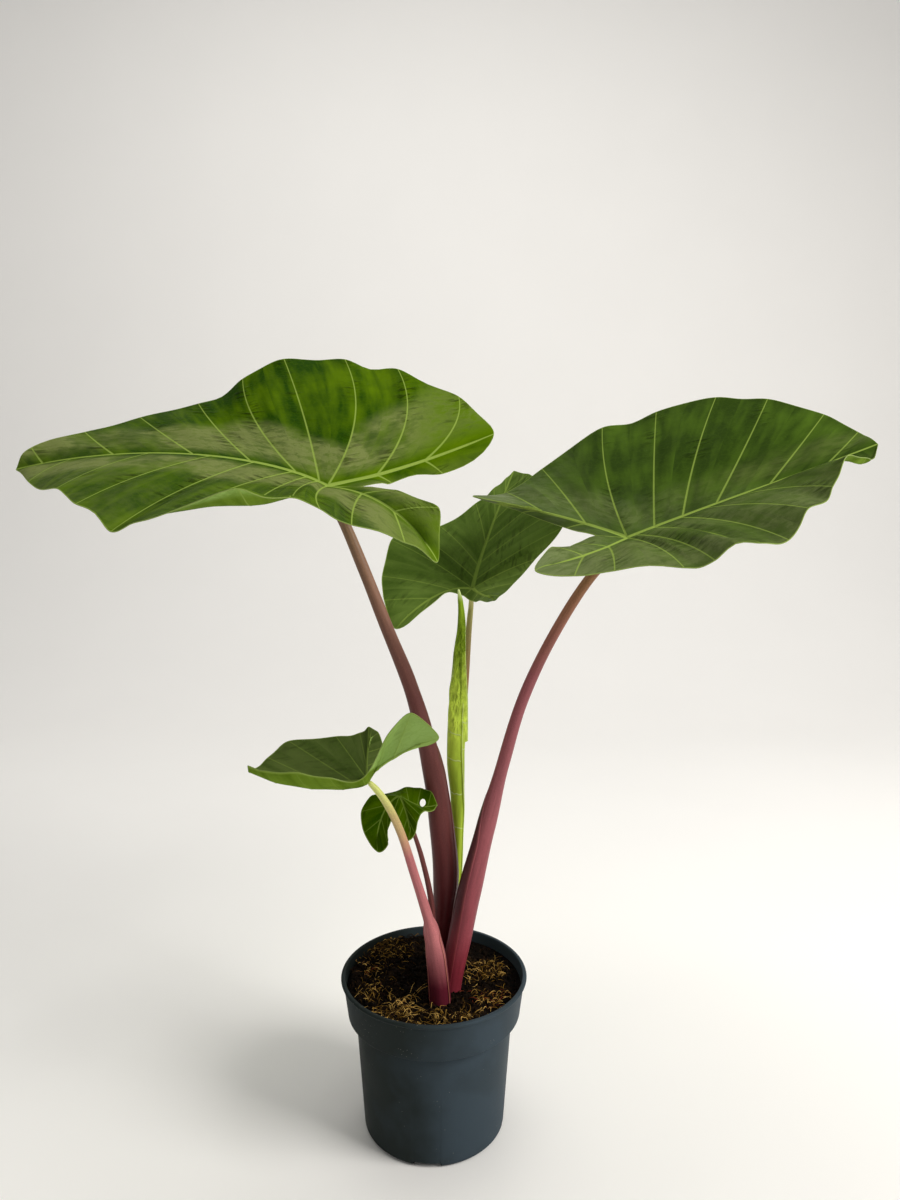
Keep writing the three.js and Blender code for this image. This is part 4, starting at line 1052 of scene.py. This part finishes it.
# Soil
SOIL_LEVEL = 147.0
SOIL_RADIUS = 88.7
SOIL_EDGE = [(88.7, 147), (85.8, 121.9), (79.3, 120.9), (77.8, 119.4), (69.8, 8.7), (67.8, 6.7), (0, 6.7)]


def soil_height(x, y):
    """The soil's top: higher at the back left, lower at the right, heaped at the stalks, with three sizes of lump."""
    slope = 4.6 * smooth((y - 1.2 * x - 20) / 110) + 2.2 * smooth((-y - 40) / 40) - 1.2 * smooth((x - 20) / 60)
    heap = 3.0 * np.exp(-(((x - 8) / 30) ** 2) - ((y / 34) ** 2))
    lumps = 1.5 * value_noise(x, y, 9, 1) + 0.9 * value_noise(x, y, 3.5, 2) + 0.5 * value_noise(x, y, 1.6, 3)
    return SOIL_LEVEL + slope + heap + lumps


def build_soil(materials):
    """The soil: its top is a height over a polar grid, its side the inside of the pot turned round the Z axis."""
    angles = np.linspace(0, 2 * np.pi, 288, endpoint=False)
    radius = np.linspace(1, 0, 96) ** 0.8 * SOIL_RADIUS
    top = turned(np.column_stack([radius, 0 * radius]), angles)
    rim = smooth((SOIL_RADIUS - radius) / 4)[:, None]
    top[..., 2] = SOIL_LEVEL + (soil_height(top[..., 0], top[..., 1]) - SOIL_LEVEL) * rim
    points, triangles = weld([np.concatenate([turned(SOIL_EDGE[::-1], angles), top[1:]])])
    add_piece("soil_bed", points, [triangles], materials, ("soil",), crease=80)


# Moss: centre x, y, spread, strands, shortest, longest, tint from, tint to, lift
MOSS_BEDS = [
    (-50, 52, 28, 260, 4, 11, 0.1, 0.72, 1.2),
    (-64, 14, 16, 80, 4, 9, 0.1, 0.98, 1.2),
    (-56, -22, 22, 150, 4, 11, 0.1, 0.82, 1.6),
    (-36, -58, 22, 210, 5, 15, 0.1, 0.84, 2.0),
    (4, -70, 16, 130, 4, 11, 0.1, 0.8, 2.0),
    (-16, -84, 9, 36, 6, 12, 0.2, 0.8, 3.4),
    (34, 6, 14, 60, 4, 11, 0.1, 0.8, 1.2),
    (56, 20, 17, 190, 5, 14, 0.15, 0.84, 2.2),
    (58, -34, 20, 150, 4, 11, 0.1, 1.0, 1.4),
    (30, -64, 14, 60, 5, 15, 0.2, 0.8, 1.4),
    (0, 60, 40, 120, 4, 9, 0.0, 0.4, 1.0),
    (0, 0, 86, 420, 3, 8, 0.0, 0.5, 0.8),
    (-30, -50, 26, 10, 20, 34, 0.66, 0.82, 1.6),
]
OVER_RIM = 3.0
STRAND_RINGS = 7
# How far from the middle a strand starts, ends, and ends where it climbs over the rim
STRAND_START, STRAND_REACH, STRAND_OVER_RIM = 86, 87.4, 94.0
# Where the strands that climb leave the soil and how high they rise to clear the rim
CLIMB_FROM, CLIMB_LEVEL, CLIMB_HEIGHT = 76, 148, 10.6


def build_moss(thickness, seed, materials):
    """Loose strands on the soil: three-sided tubes along arcs that rise by sin(pi t) and bend sideways by t^2.

    Those of a bed with more lift than 3 may climb over the rim.
    """
    chance = np.random.default_rng(seed)
    beds = np.repeat(np.array(MOSS_BEDS, float), [bed[3] for bed in MOSS_BEDS], axis=0)
    count = len(beds)
    start = beds[:, :2] + chance.normal(0, 0.5, (count, 2)) * beds[:, 2:3]
    start *= np.minimum(1, STRAND_START / np.maximum(np.linalg.norm(start, axis=1), 1))[:, None]
    length = beds[:, 4] + (beds[:, 5] - beds[:, 4]) * chance.random(count)
    heading = chance.uniform(0, 2 * np.pi, count)
    bend = chance.normal(0, 0.65, count)
    t = np.linspace(0, 1, STRAND_RINGS)
    turn = heading[:, None] + bend[:, None] * t
    x = start[:, :1] + length[:, None] * t * np.cos(turn)
    y = start[:, 1:] + length[:, None] * t * np.sin(turn)
    climbing = beds[:, 8:] > OVER_RIM
    inside = np.minimum(1, np.where(climbing, STRAND_OVER_RIM, STRAND_REACH) / np.maximum(np.hypot(x, y), 1))
    x, y = x * inside, y * inside
    rise = chance.uniform(0.3, 2.4, count) * beds[:, 8]
    tail = chance.uniform(0, 1.6, count) * beds[:, 8]
    z = soil_height(x, y) + 0.1 + rise[:, None] * np.sin(np.pi * t) + tail[:, None] * t**2
    climb = CLIMB_HEIGHT * smooth((np.hypot(x, y) - CLIMB_FROM) / 13)
    z = np.where(climbing, CLIMB_LEVEL + climb + 0.4 * (z - CLIMB_LEVEL) / CLIMB_HEIGHT, z)
    line = np.stack([x, y, z], -1)
    along = unit(np.gradient(line, axis=1))
    side = unit(np.cross(along, [0, 0, 1.0]))
    over = np.cross(side, along)
    radius = thickness * chance.uniform(0.5, 1.3, count)[:, None, None] * (1 - 0.6 * t[:, None] ** 2)
    angle = np.arange(3) * 2 * np.pi / 3 + np.pi / 2
    ring = side[:, :, None] * np.cos(angle)[:, None] + over[:, :, None] * np.sin(angle)[:, None]
    points = (line[:, :, None] + ring * radius[..., None]).reshape(-1, 3)
    shift = (np.arange(count) * STRAND_RINGS * 3)[:, None, None]
    quads = (grid_faces(STRAND_RINGS, 3, wrap=True) + shift).reshape(-1, 4)[:, ::-1]
    last = (STRAND_RINGS - 1) * 3
    caps = (np.array([[0, 1, 2], [last + 2, last + 1, last]]) + shift).reshape(-1, 3)
    tint = beds[:, 6] + (beds[:, 7] - beds[:, 6]) * chance.random(count)
    corners = {"tint": np.concatenate([np.repeat(tint, len(quads) // count * 4), np.repeat(tint, 6)])}
    add_piece("moss_strands", points, [quads, caps], materials, (), None, corners, crease=180)


def twenty_sided():
    """The twelve corners and twenty faces of the regular lump with all corners at distance 1."""
    golden = (1 + math.sqrt(5)) / 2
    flat = np.array([(s * 1.0, t * golden) for s in (-1, 1) for t in (-1, 1)])
    zero = np.zeros((4, 1))
    turns = [[zero, flat], [flat, zero], [flat[:, 1:], zero, flat[:, :1]]]
    lump = np.vstack([np.hstack(turn) for turn in turns])
    lump /= np.linalg.norm(lump[0])
    near = np.linalg.norm(lump[:, None] - lump[None], axis=-1) < 1.1
    faces = [(i, j, k) for i in range(12) for j in range(i) for k in range(j)]
    faces = [(i, j, k) for i, j, k in faces if near[i, j] and near[j, k] and near[i, k]]
    outward = lambda f: np.dot(np.cross(*(lump[list(f[:2])])), lump[f[2]]) > 0
    return lump, np.array([f if outward(f) else f[::-1] for f in faces])


def build_crumbs(amount, seed, materials):
    """Loose crumbs on the soil: twenty-sided lumps, each stretched and turned its own way."""
    chance = np.random.default_rng(seed)
    lump, faces = twenty_sided()
    radius = 84 * np.sqrt(chance.random(amount))
    angle = chance.uniform(0, 2 * np.pi, amount)
    x, y = radius * np.cos(angle), radius * np.sin(angle)
    size = chance.uniform(0.6, 2.2, amount) ** 1.3
    stretch = chance.uniform(0.6, 1.3, (amount, 1, 3)) * size[:, None, None]
    a, b, c = np.moveaxis(lump[None] * stretch * chance.uniform(0.8, 1.15, (amount, 12, 1)), -1, 0)
    spin = chance.uniform(0, 2 * np.pi, amount)[:, None]
    shape = np.stack([a * np.cos(spin) - b * np.sin(spin), a * np.sin(spin) + b * np.cos(spin), c], -1)
    place = np.stack([x, y, soil_height(x, y) + 0.2 * size], -1)
    points = (shape + place[:, None]).reshape(-1, 3)
    triangles = (faces[None] + (np.arange(amount) * 12)[:, None, None]).reshape(-1, 3)
    add_piece("soil_crumbs", points, [triangles], materials, (), crease=180)


# Stage, in metres
FLOOR_FROM, FLOOR_TO, FLOOR_HALF_WIDTH = -6.0, 1.5, 8
BACKDROP_BEND, BACKDROP_HEIGHT = 1.2, 4.5
CAMERA_PLACE = (0.0164, -0.795, 0.614)
CAMERA_DIP = 0.092


def add_to_stage(name, data):
    """An object of the studio, which is no piece of the plant."""
    thing = bpy.data.objects.new(name, data)
    bpy.context.scene.collection.objects.link(thing)
    return thing


def build_floor(tint):
    """A floor that curves up into a backdrop by a quarter circle, carried along the X axis."""
    flat = np.column_stack([np.linspace(FLOOR_FROM, FLOOR_TO, 24), np.zeros(24)])
    turn = np.linspace(0, np.pi / 2, 24)[1:]
    bend = [FLOOR_TO, BACKDROP_BEND] + BACKDROP_BEND * np.column_stack([np.sin(turn), -np.cos(turn)])
    up = np.linspace(BACKDROP_BEND, BACKDROP_HEIGHT, 9)[1:]
    rise = np.column_stack([np.full(8, FLOOR_TO + BACKDROP_BEND), up])
    y, z = np.concatenate([flat, bend, rise]).T[:, :, None]
    x = np.linspace(-FLOOR_HALF_WIDTH, FLOOR_HALF_WIDTH, 21)
    grid = np.stack([x + 0 * y, y + 0 * x, z + 0 * x], -1)
    mesh = bpy.data.meshes.new("studio_floor")
    mesh.from_pydata(grid.reshape(-1, 3).tolist(), [], grid_faces(*grid.shape[:2]).tolist())
    mesh.polygons.foreach_set("use_smooth", [True] * len(mesh.polygons))
    mesh.materials.append(plain_finish("studio_floor", tint))
    floor = add_to_stage("studio_floor", mesh)


def add_light(name, place, aim, size, power, tint):
    """A square soft light at the place, facing the aim."""
    lamp = bpy.data.lights.new(name, "AREA")
    lamp.size, lamp.energy, lamp.color = size, power, tint
    light = add_to_stage(name, lamp)
    light.location = place
    light.rotation_euler = (Vector(aim) - Vector(place)).to_track_quat("-Z", "Y").to_euler()


# Settings
def tint_setting(name, description, *tint):
    default = colour(*tint)
    return bpy.props.FloatVectorProperty(
        name=name, description=description, default=default, size=4, min=0.0, max=1.0, subtype="COLOR"
    )


def length_setting(name, description, default, low, high):
    return bpy.props.FloatProperty(
        name=name, description=description, default=default, min=low, max=high, precision=4, unit="LENGTH"
    )


def power_setting(name, description, default):
    return bpy.props.FloatProperty(name=name, description=description, default=default, min=0.0, unit="POWER")


class LeafSettings(bpy.types.PropertyGroup):
    """Sizes and colours of the open leaves."""

    thickness: length_setting("Thickness", "Thickness of a blade between its veins", 0.0007, 0.0004, 0.0015)
    rib_width: length_setting("Rib width", "Half the width of a large midrib at its root", 0.0026, 0.001, 0.005)
    vein_width: length_setting("Vein width", "Half the width of a large leaf's side veins", 0.001, 0.0003, 0.003)
    bulge: length_setting("Bulge", "How far a large blade bulges between two veins", 0.002, 0.0, 0.006)
    left_deep: tint_setting("Left, deep", "Darkest green of the left leaf", 32, 62, 0)
    left_light: tint_setting("Left, light", "Lightest green of the left leaf", 80, 108, 2)
    right_deep: tint_setting("Right, deep", "Darkest green of the right leaf", 42, 61, 16)
    right_light: tint_setting("Right, light", "Lightest green of the right leaf", 69, 94, 26)
    rear_deep: tint_setting("Rear, deep", "Darkest green of the rear leaf", 68, 90, 32)
    rear_light: tint_setting("Rear, light", "Lightest green of the rear leaf", 94, 116, 50)
    young_deep: tint_setting("Young, deep", "Darkest green of the small leaf", 66, 84, 34)
    young_light: tint_setting("Young, light", "Lightest green of the small leaf", 92, 108, 54)
    # Painted sheen: these two tints stand for the studio's reflection on the large leaves
    painted_sheen: tint_setting("Haze", "Olive painted_sheen_tint along the ribs of the large leaves", 112, 122, 68)
    painted_grey_sheen: tint_setting("Dull lobes", "Grey green of the right leaf's lobes", 116, 128, 88)
    lobe: tint_setting("Lobe", "Pale green of the small leaf's front lobe", 152, 184, 100)
    vein_tint: tint_setting("Veins", "Colour of the ribs, the veins and the margin", 136, 158, 70)
    under_deep: tint_setting("Underside, deep", "Darkest colour of the undersides", 84, 110, 22)
    under_light: tint_setting("Underside, light", "Lightest colour of the undersides", 116, 144, 46)
    roughness: bpy.props.FloatProperty(
        name="Roughness", description="Roughness of the upper faces", default=0.4, min=0.1, max=0.9, subtype="FACTOR"
    )


class StalkSettings(bpy.types.PropertyGroup):
    """Sizes and colours of the stalks and the rolled leaf."""

    sheath_step: length_setting("Sheath", "How far a sheath stands out from its stalk", 0.0009, 0.0, 0.002)
    roll_step: length_setting("Roll", "Height of the free edge of the rolled leaf", 0.0014, 0.0, 0.003)
    left_top: tint_setting("Left, top", "Colour of the left stalk near its blade", 136, 108, 84)
    left_middle: tint_setting("Left, middle", "Colour of the left stalk half way up", 113, 68, 64)
    left_foot: tint_setting("Left, foot", "Colour of the left stalk near the soil", 84, 30, 32)
    right_top: tint_setting("Right, top", "Colour of the right stalk near its blade", 150, 110, 74)
    right_middle: tint_setting("Right, middle", "Colour of the right stalk half way up", 146, 83, 88)
    right_foot: tint_setting("Right, foot", "Colour of the right stalk near the soil", 126, 42, 54)
    small_top: tint_setting("Small, top", "Colour of the small leaf's stalk near its blade", 214, 220, 128)
    small_middle: tint_setting("Small, middle", "Colour of the small leaf's stalk half way up", 174, 104, 106)
    small_foot: tint_setting("Small, foot", "Colour of the small leaf's stalk near the soil", 92, 28, 42)
    sheath_edge: tint_setting("Sheath edge", "Colour of the dry line along a sheath's edge", 190, 128, 96)
    rolled_deep: tint_setting("Rolled, deep", "Darkest green of the rolled leaf", 104, 136, 8)
    rolled_light: tint_setting("Rolled, light", "Lightest green of the rolled leaf", 208, 234, 84)


class PotSettings(bpy.types.PropertyGroup):
    """Sizes and colours of the pot."""

    rounding: length_setting("Rounding", "How far the edges of the pot are rounded", 0.0009, 0.0, 0.002)
    slate: tint_setting("Slate", "Darker colour of the pot", 36, 42, 41)
    # The lighter slate also paints the light on the pot's right side
    light_and_lit_slate: tint_setting("Slate, light", "Lighter colour of the pot", 58, 69, 77)


class SoilSettings(bpy.types.PropertyGroup):
    """Sizes and colours of the soil and its moss."""

    dark: tint_setting("Dark soil", "Colour of the damp soil", 6, 4, 3)
    brown: tint_setting("Brown soil", "Colour of most crumbs", 24, 16, 10)
    ochre: tint_setting("Ochre soil", "Colour of the dry crumbs", 66, 48, 28)
    strand: length_setting("Strand", "Half the thickness of a strand of moss", 0.00036, 0.0001, 0.001)
    crumbs: bpy.props.IntProperty(name="Crumbs", description="Number of loose crumbs", default=1100, min=0, max=3000)
    seed: bpy.props.IntProperty(name="Seed", description="Scatter of the strands and crumbs", default=4, min=0)


class StudioSettings(bpy.types.PropertyGroup):
    """Floor and lights of the studio."""

    floor: tint_setting("Floor", "Colour of the floor and backdrop", 248, 247, 245)
    key: power_setting("Key light", "Power of the large soft light", 70.0)
    top: power_setting("Top light", "Power of the light above the plant", 30.0)
    sky: bpy.props.FloatProperty(name="Sky", description="Strength of the even light", default=0.34, min=0.0, max=5.0)


# Operators
class MESH_OT_alocasia_pot(bpy.types.Operator):
    """Build the pot with its band, rolled rim, foot notches and drain holes"""

    bl_idname = "mesh.alocasia_pot"
    bl_label = "Pot"

    def execute(self, context):
        s = context.scene.alocasia_pot
        build_pot(s.rounding / MM, [pot_finish("pot_plastic", tuple(s.slate), tuple(s.light_and_lit_slate))])
        return {"FINISHED"}


class MESH_OT_alocasia_soil(bpy.types.Operator):
    """Build the soil, the loose moss on it and its crumbs"""

    bl_idname = "mesh.alocasia_soil"
    bl_label = "Soil and moss"

    def execute(self, context):
        s = context.scene.alocasia_soil
        ground = soil_finish("soil_ground", s.dark, s.brown, s.ochre)
        build_soil([ground])
        build_moss(s.strand / MM, s.seed, [moss_finish("moss_fibre")])
        build_crumbs(s.crumbs, s.seed + 1, [ground])
        return {"FINISHED"}


class MESH_OT_alocasia_stalks(bpy.types.Operator):
    """Build the five leaf stalks with their sheaths"""

    bl_idname = "mesh.alocasia_stalks"
    bl_label = "Stalks"

    def execute(self, context):
        s = context.scene.alocasia_stalks
        step, edge = s.sheath_step / MM, tuple(s.sheath_edge)
        # fmt: off
        left = [
            (150, s.left_foot), (240, s.left_foot), (337, halfway(s.left_foot, s.left_middle)),
            (440, s.left_middle), (540, halfway(s.left_middle, s.left_top)), (620, s.left_top),
        ]
        right = [
            (150, s.right_foot), (172, s.right_foot), (240, halfway(s.right_foot, s.right_middle)),
            (340, s.right_middle), (460, s.right_middle), (570, s.right_top),
        ]
        small = [
            (150, s.small_foot), (166, s.small_foot), (215, s.small_middle),
            (300, s.small_middle), (345, halfway(s.small_middle, s.small_top)), (372, s.small_top),
        ]
        rear = [
            (150, s.left_foot), (330, s.left_middle), (440, s.right_top),
            (520, halfway(s.left_top, s.small_top)),
        ]
        # fmt: on
        tiny = [(150, s.left_foot), (350, s.left_middle)]
        on_left = sheathed(50, [(120, 115), (330, 70), (385, 30), (397, 12)], step)
        on_right = sheathed(170, [(120, 96), (300, 72), (340, 36), (352, 14)], step)
        on_small = sheathed(90, [(120, 125), (215, 120), (232, 60), (242, 14)], step)
        # The last two numbers are the strength of the brink line and of the painted shadow on the sheath
        plans = [
            ("left", 150, 96, on_left, left, 0.15, 0.0),
            ("right", 150, 96, on_right, right, 0.1, 0.68),
            ("rear", 90, 48, bare, rear, 0.0, 0.0),
            ("small", 120, 80, on_small, small, 0.6, 0.3),
            ("tiny", 80, 40, bare, tiny, 0.0, 0.0),
        ]
        for which, rings, sides, relief, stops, line, shadow in plans:
            skin = stalk_finish("stalk_" + which, stops, edge, line, shadow)
            build_stalk("stalk_" + which, "petiole_" + which, rings, sides, relief, skin)
        return {"FINISHED"}


class MESH_OT_alocasia_rolled_leaf(bpy.types.Operator):
    """Build the young leaf that is still rolled up"""

    bl_idname = "mesh.alocasia_rolled_leaf"
    bl_label = "Rolled leaf"

    def execute(self, context):
        s = context.scene.alocasia_stalks
        skin = rolled_finish("rolled_leaf", tuple(s.rolled_deep), tuple(s.rolled_light), colour(206, 222, 150))
        build_stalk("rolled_blade", "rolled_leaf", 220, 96, rolled(-40, s.roll_step / MM), skin)
        build_flap(0.8, skin)
        return {"FINISHED"}


class MESH_OT_alocasia_leaves(bpy.types.Operator):
    """Build the five open leaves with their veins"""

    bl_idname = "mesh.alocasia_leaves"
    bl_label = "Leaves"

    def execute(self, context):
        s = context.scene.alocasia_leaves
        veins = tuple(s.vein_tint)
        under = [tuple(s.under_deep), halfway(s.under_deep, s.under_light), tuple(s.under_light), veins]
        painted_sheen, painted_grey_sheen, lobe = tuple(s.painted_sheen), tuple(s.painted_grey_sheen), tuple(s.lobe)
        # Painted sheen on the left leaf: a grey olive reflection along the rib, at its left end and over the near
        # half; the last patch lightens the green towards +X
        left = [
            (painted_sheen, 1.3, ALONG_THE_RIB, 2.0, 46.0),
            (painted_sheen, 0.25, 0, -0.24, -0.33),
            (painted_sheen, 0.2, 1, 0.01, -0.06),
            (tuple(s.left_light), 0.9, 0, -0.06, 0.02),
        ]
        # Painted sheen on the right leaf: olive along the rib and over the near half, grey green low down and on the
        # lobes by the stalk
        right = [
            (painted_sheen, 0.3, ALONG_THE_RIB, 2.0, 30.0),
            (painted_sheen, 0.5, 1, 0.01, -0.09),
            (painted_grey_sheen, 0.2, 2, 0.665, 0.635),
            (painted_grey_sheen, 0.35, 0, 0.19, 0.09),
            (painted_grey_sheen, 0.9, 0, 0.115, 0.06),
        ]
        curled = [(lobe, 0.9, 1, -0.15, -0.168)]
        front = [(lobe, 2.6, 2, 0.392, 0.404)]
        # Leaf, columns, share of the ribs' and veins' width, share of the bulge, darkest and lightest green, pucker,
        # how strongly the veins show, painted sheen and other patches above, patches below
        plans = [
            (LEFT_LEAF, 64, 1.0, 1.0, s.left_deep, s.left_light, 3.2, 0.85, left, curled),
            (RIGHT_LEAF, 64, 1.0, 1.0, s.right_deep, s.right_light, 2.4, 0.7, right, ()),
            (REAR_LEAF, 40, 0.75, 0.7, s.rear_deep, s.rear_light, 2.0, 0.36, (), ()),
            (SMALL_LEAF, 40, 0.45, 0.5, s.young_deep, s.young_light, 1.5, 0.36, (), front),
            (TINY_LEAF, 40, 0.4, 0.4, s.left_deep, dimmed(s.left_light, 0.8), 1.2, 0.3, (), ()),
        ]
        for leaf, columns, size, bulge, deep, light, pucker, strength, above, below in plans:
            name = leaf["name"]
            tints = [tuple(deep), halfway(deep, light), tuple(light), veins]
            materials = [
                blade_finish(name + "_upper", tints, s.roughness, pucker, LEAF_GRAIN, strength, above),
                blade_finish(name + "_under", under, 0.55, pucker * 0.6, UNDERSIDE_GRAIN, strength, below),
                rim_finish(name + "_rim", veins),
            ]
            widths = s.rib_width / MM * size, s.vein_width / MM * size
            build_blade(leaf, columns, *widths, s.bulge / MM * bulge, s.thickness / MM, materials)
        return {"FINISHED"}


class SCENE_OT_alocasia_studio(bpy.types.Operator):
    """Add the floor, the soft lights and the camera"""

    bl_idname = "scene.alocasia_studio"
    bl_label = "Studio"

    def execute(self, context):
        s = context.scene.alocasia_studio
        build_floor(tuple(s.floor))
        world = bpy.data.worlds.new("studio")
        world.use_nodes = True
        sky = world.node_tree.nodes["Background"].inputs
        sky["Color"].default_value = (1.0, 0.985, 0.96, 1.0)
        sky["Strength"].default_value = s.sky
        context.scene.world = world
        add_light("key_light", (2.1, -0.95, 2.0), (0, 0, 0.4), 1.3, s.key, (1.0, 0.97, 0.93))
        add_light("top_light", (-0.3, 0.6, 3.2), (-0.3, 0.6, 0.0), 2.0, s.top, (1.0, 0.99, 0.96))
        context.scene.view_settings.view_transform = "Standard"
        lens = bpy.data.cameras.new("camera")
        lens.lens, lens.sensor_width, lens.sensor_fit = 24.3, 36.0, "AUTO"
        camera = add_to_stage("camera", lens)
        camera.location = CAMERA_PLACE
        camera.rotation_euler = (math.pi / 2 - CAMERA_DIP, 0.0, 0.0)
        context.scene.camera = camera
        return {"FINISHED"}


# Each group of settings with the operators that use it
PARTS = {
    "alocasia_pot": (PotSettings, [MESH_OT_alocasia_pot]),
    "alocasia_soil": (SoilSettings, [MESH_OT_alocasia_soil]),
    "alocasia_stalks": (StalkSettings, [MESH_OT_alocasia_stalks, MESH_OT_alocasia_rolled_leaf]),
    "alocasia_leaves": (LeafSettings, [MESH_OT_alocasia_leaves]),
    "alocasia_studio": (StudioSettings, [SCENE_OT_alocasia_studio]),
}


class VIEW3D_PT_alocasia(bpy.types.Panel):
    """The pieces of the plant, each with its settings"""

    bl_label = "Potted Alocasia"
    bl_idname = "VIEW3D_PT_alocasia"
    bl_space_type = "VIEW_3D"
    bl_region_type = "UI"
    bl_category = "Alocasia"

    def draw(self, context):
        for name, (settings, operators) in PARTS.items():
            box = self.layout.box()
            for operator in operators:
                box.operator(operator.bl_idname)
            for key in settings.__annotations__:
                box.prop(getattr(context.scene, name), key)


CLASSES = [one for settings, operators in PARTS.values() for one in (settings, *operators)] + [VIEW3D_PT_alocasia]


def register():
    for one in CLASSES:
        bpy.utils.register_class(one)
    for name, (settings, _) in PARTS.items():
        setattr(bpy.types.Scene, name, bpy.props.PointerProperty(type=settings))


def unregister():
    for name in PARTS:
        delattr(bpy.types.Scene, name)
    for one in reversed(CLASSES):
        bpy.utils.unregister_class(one)


def main():
    """Build every piece in order."""
    register()
    bpy.ops.mesh.alocasia_pot()
    bpy.ops.mesh.alocasia_soil()
    bpy.ops.mesh.alocasia_stalks()
    bpy.ops.mesh.alocasia_rolled_leaf()
    bpy.ops.mesh.alocasia_leaves()
    bpy.ops.scene.alocasia_studio()
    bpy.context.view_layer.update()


if __name__ == "__main__":
    main()
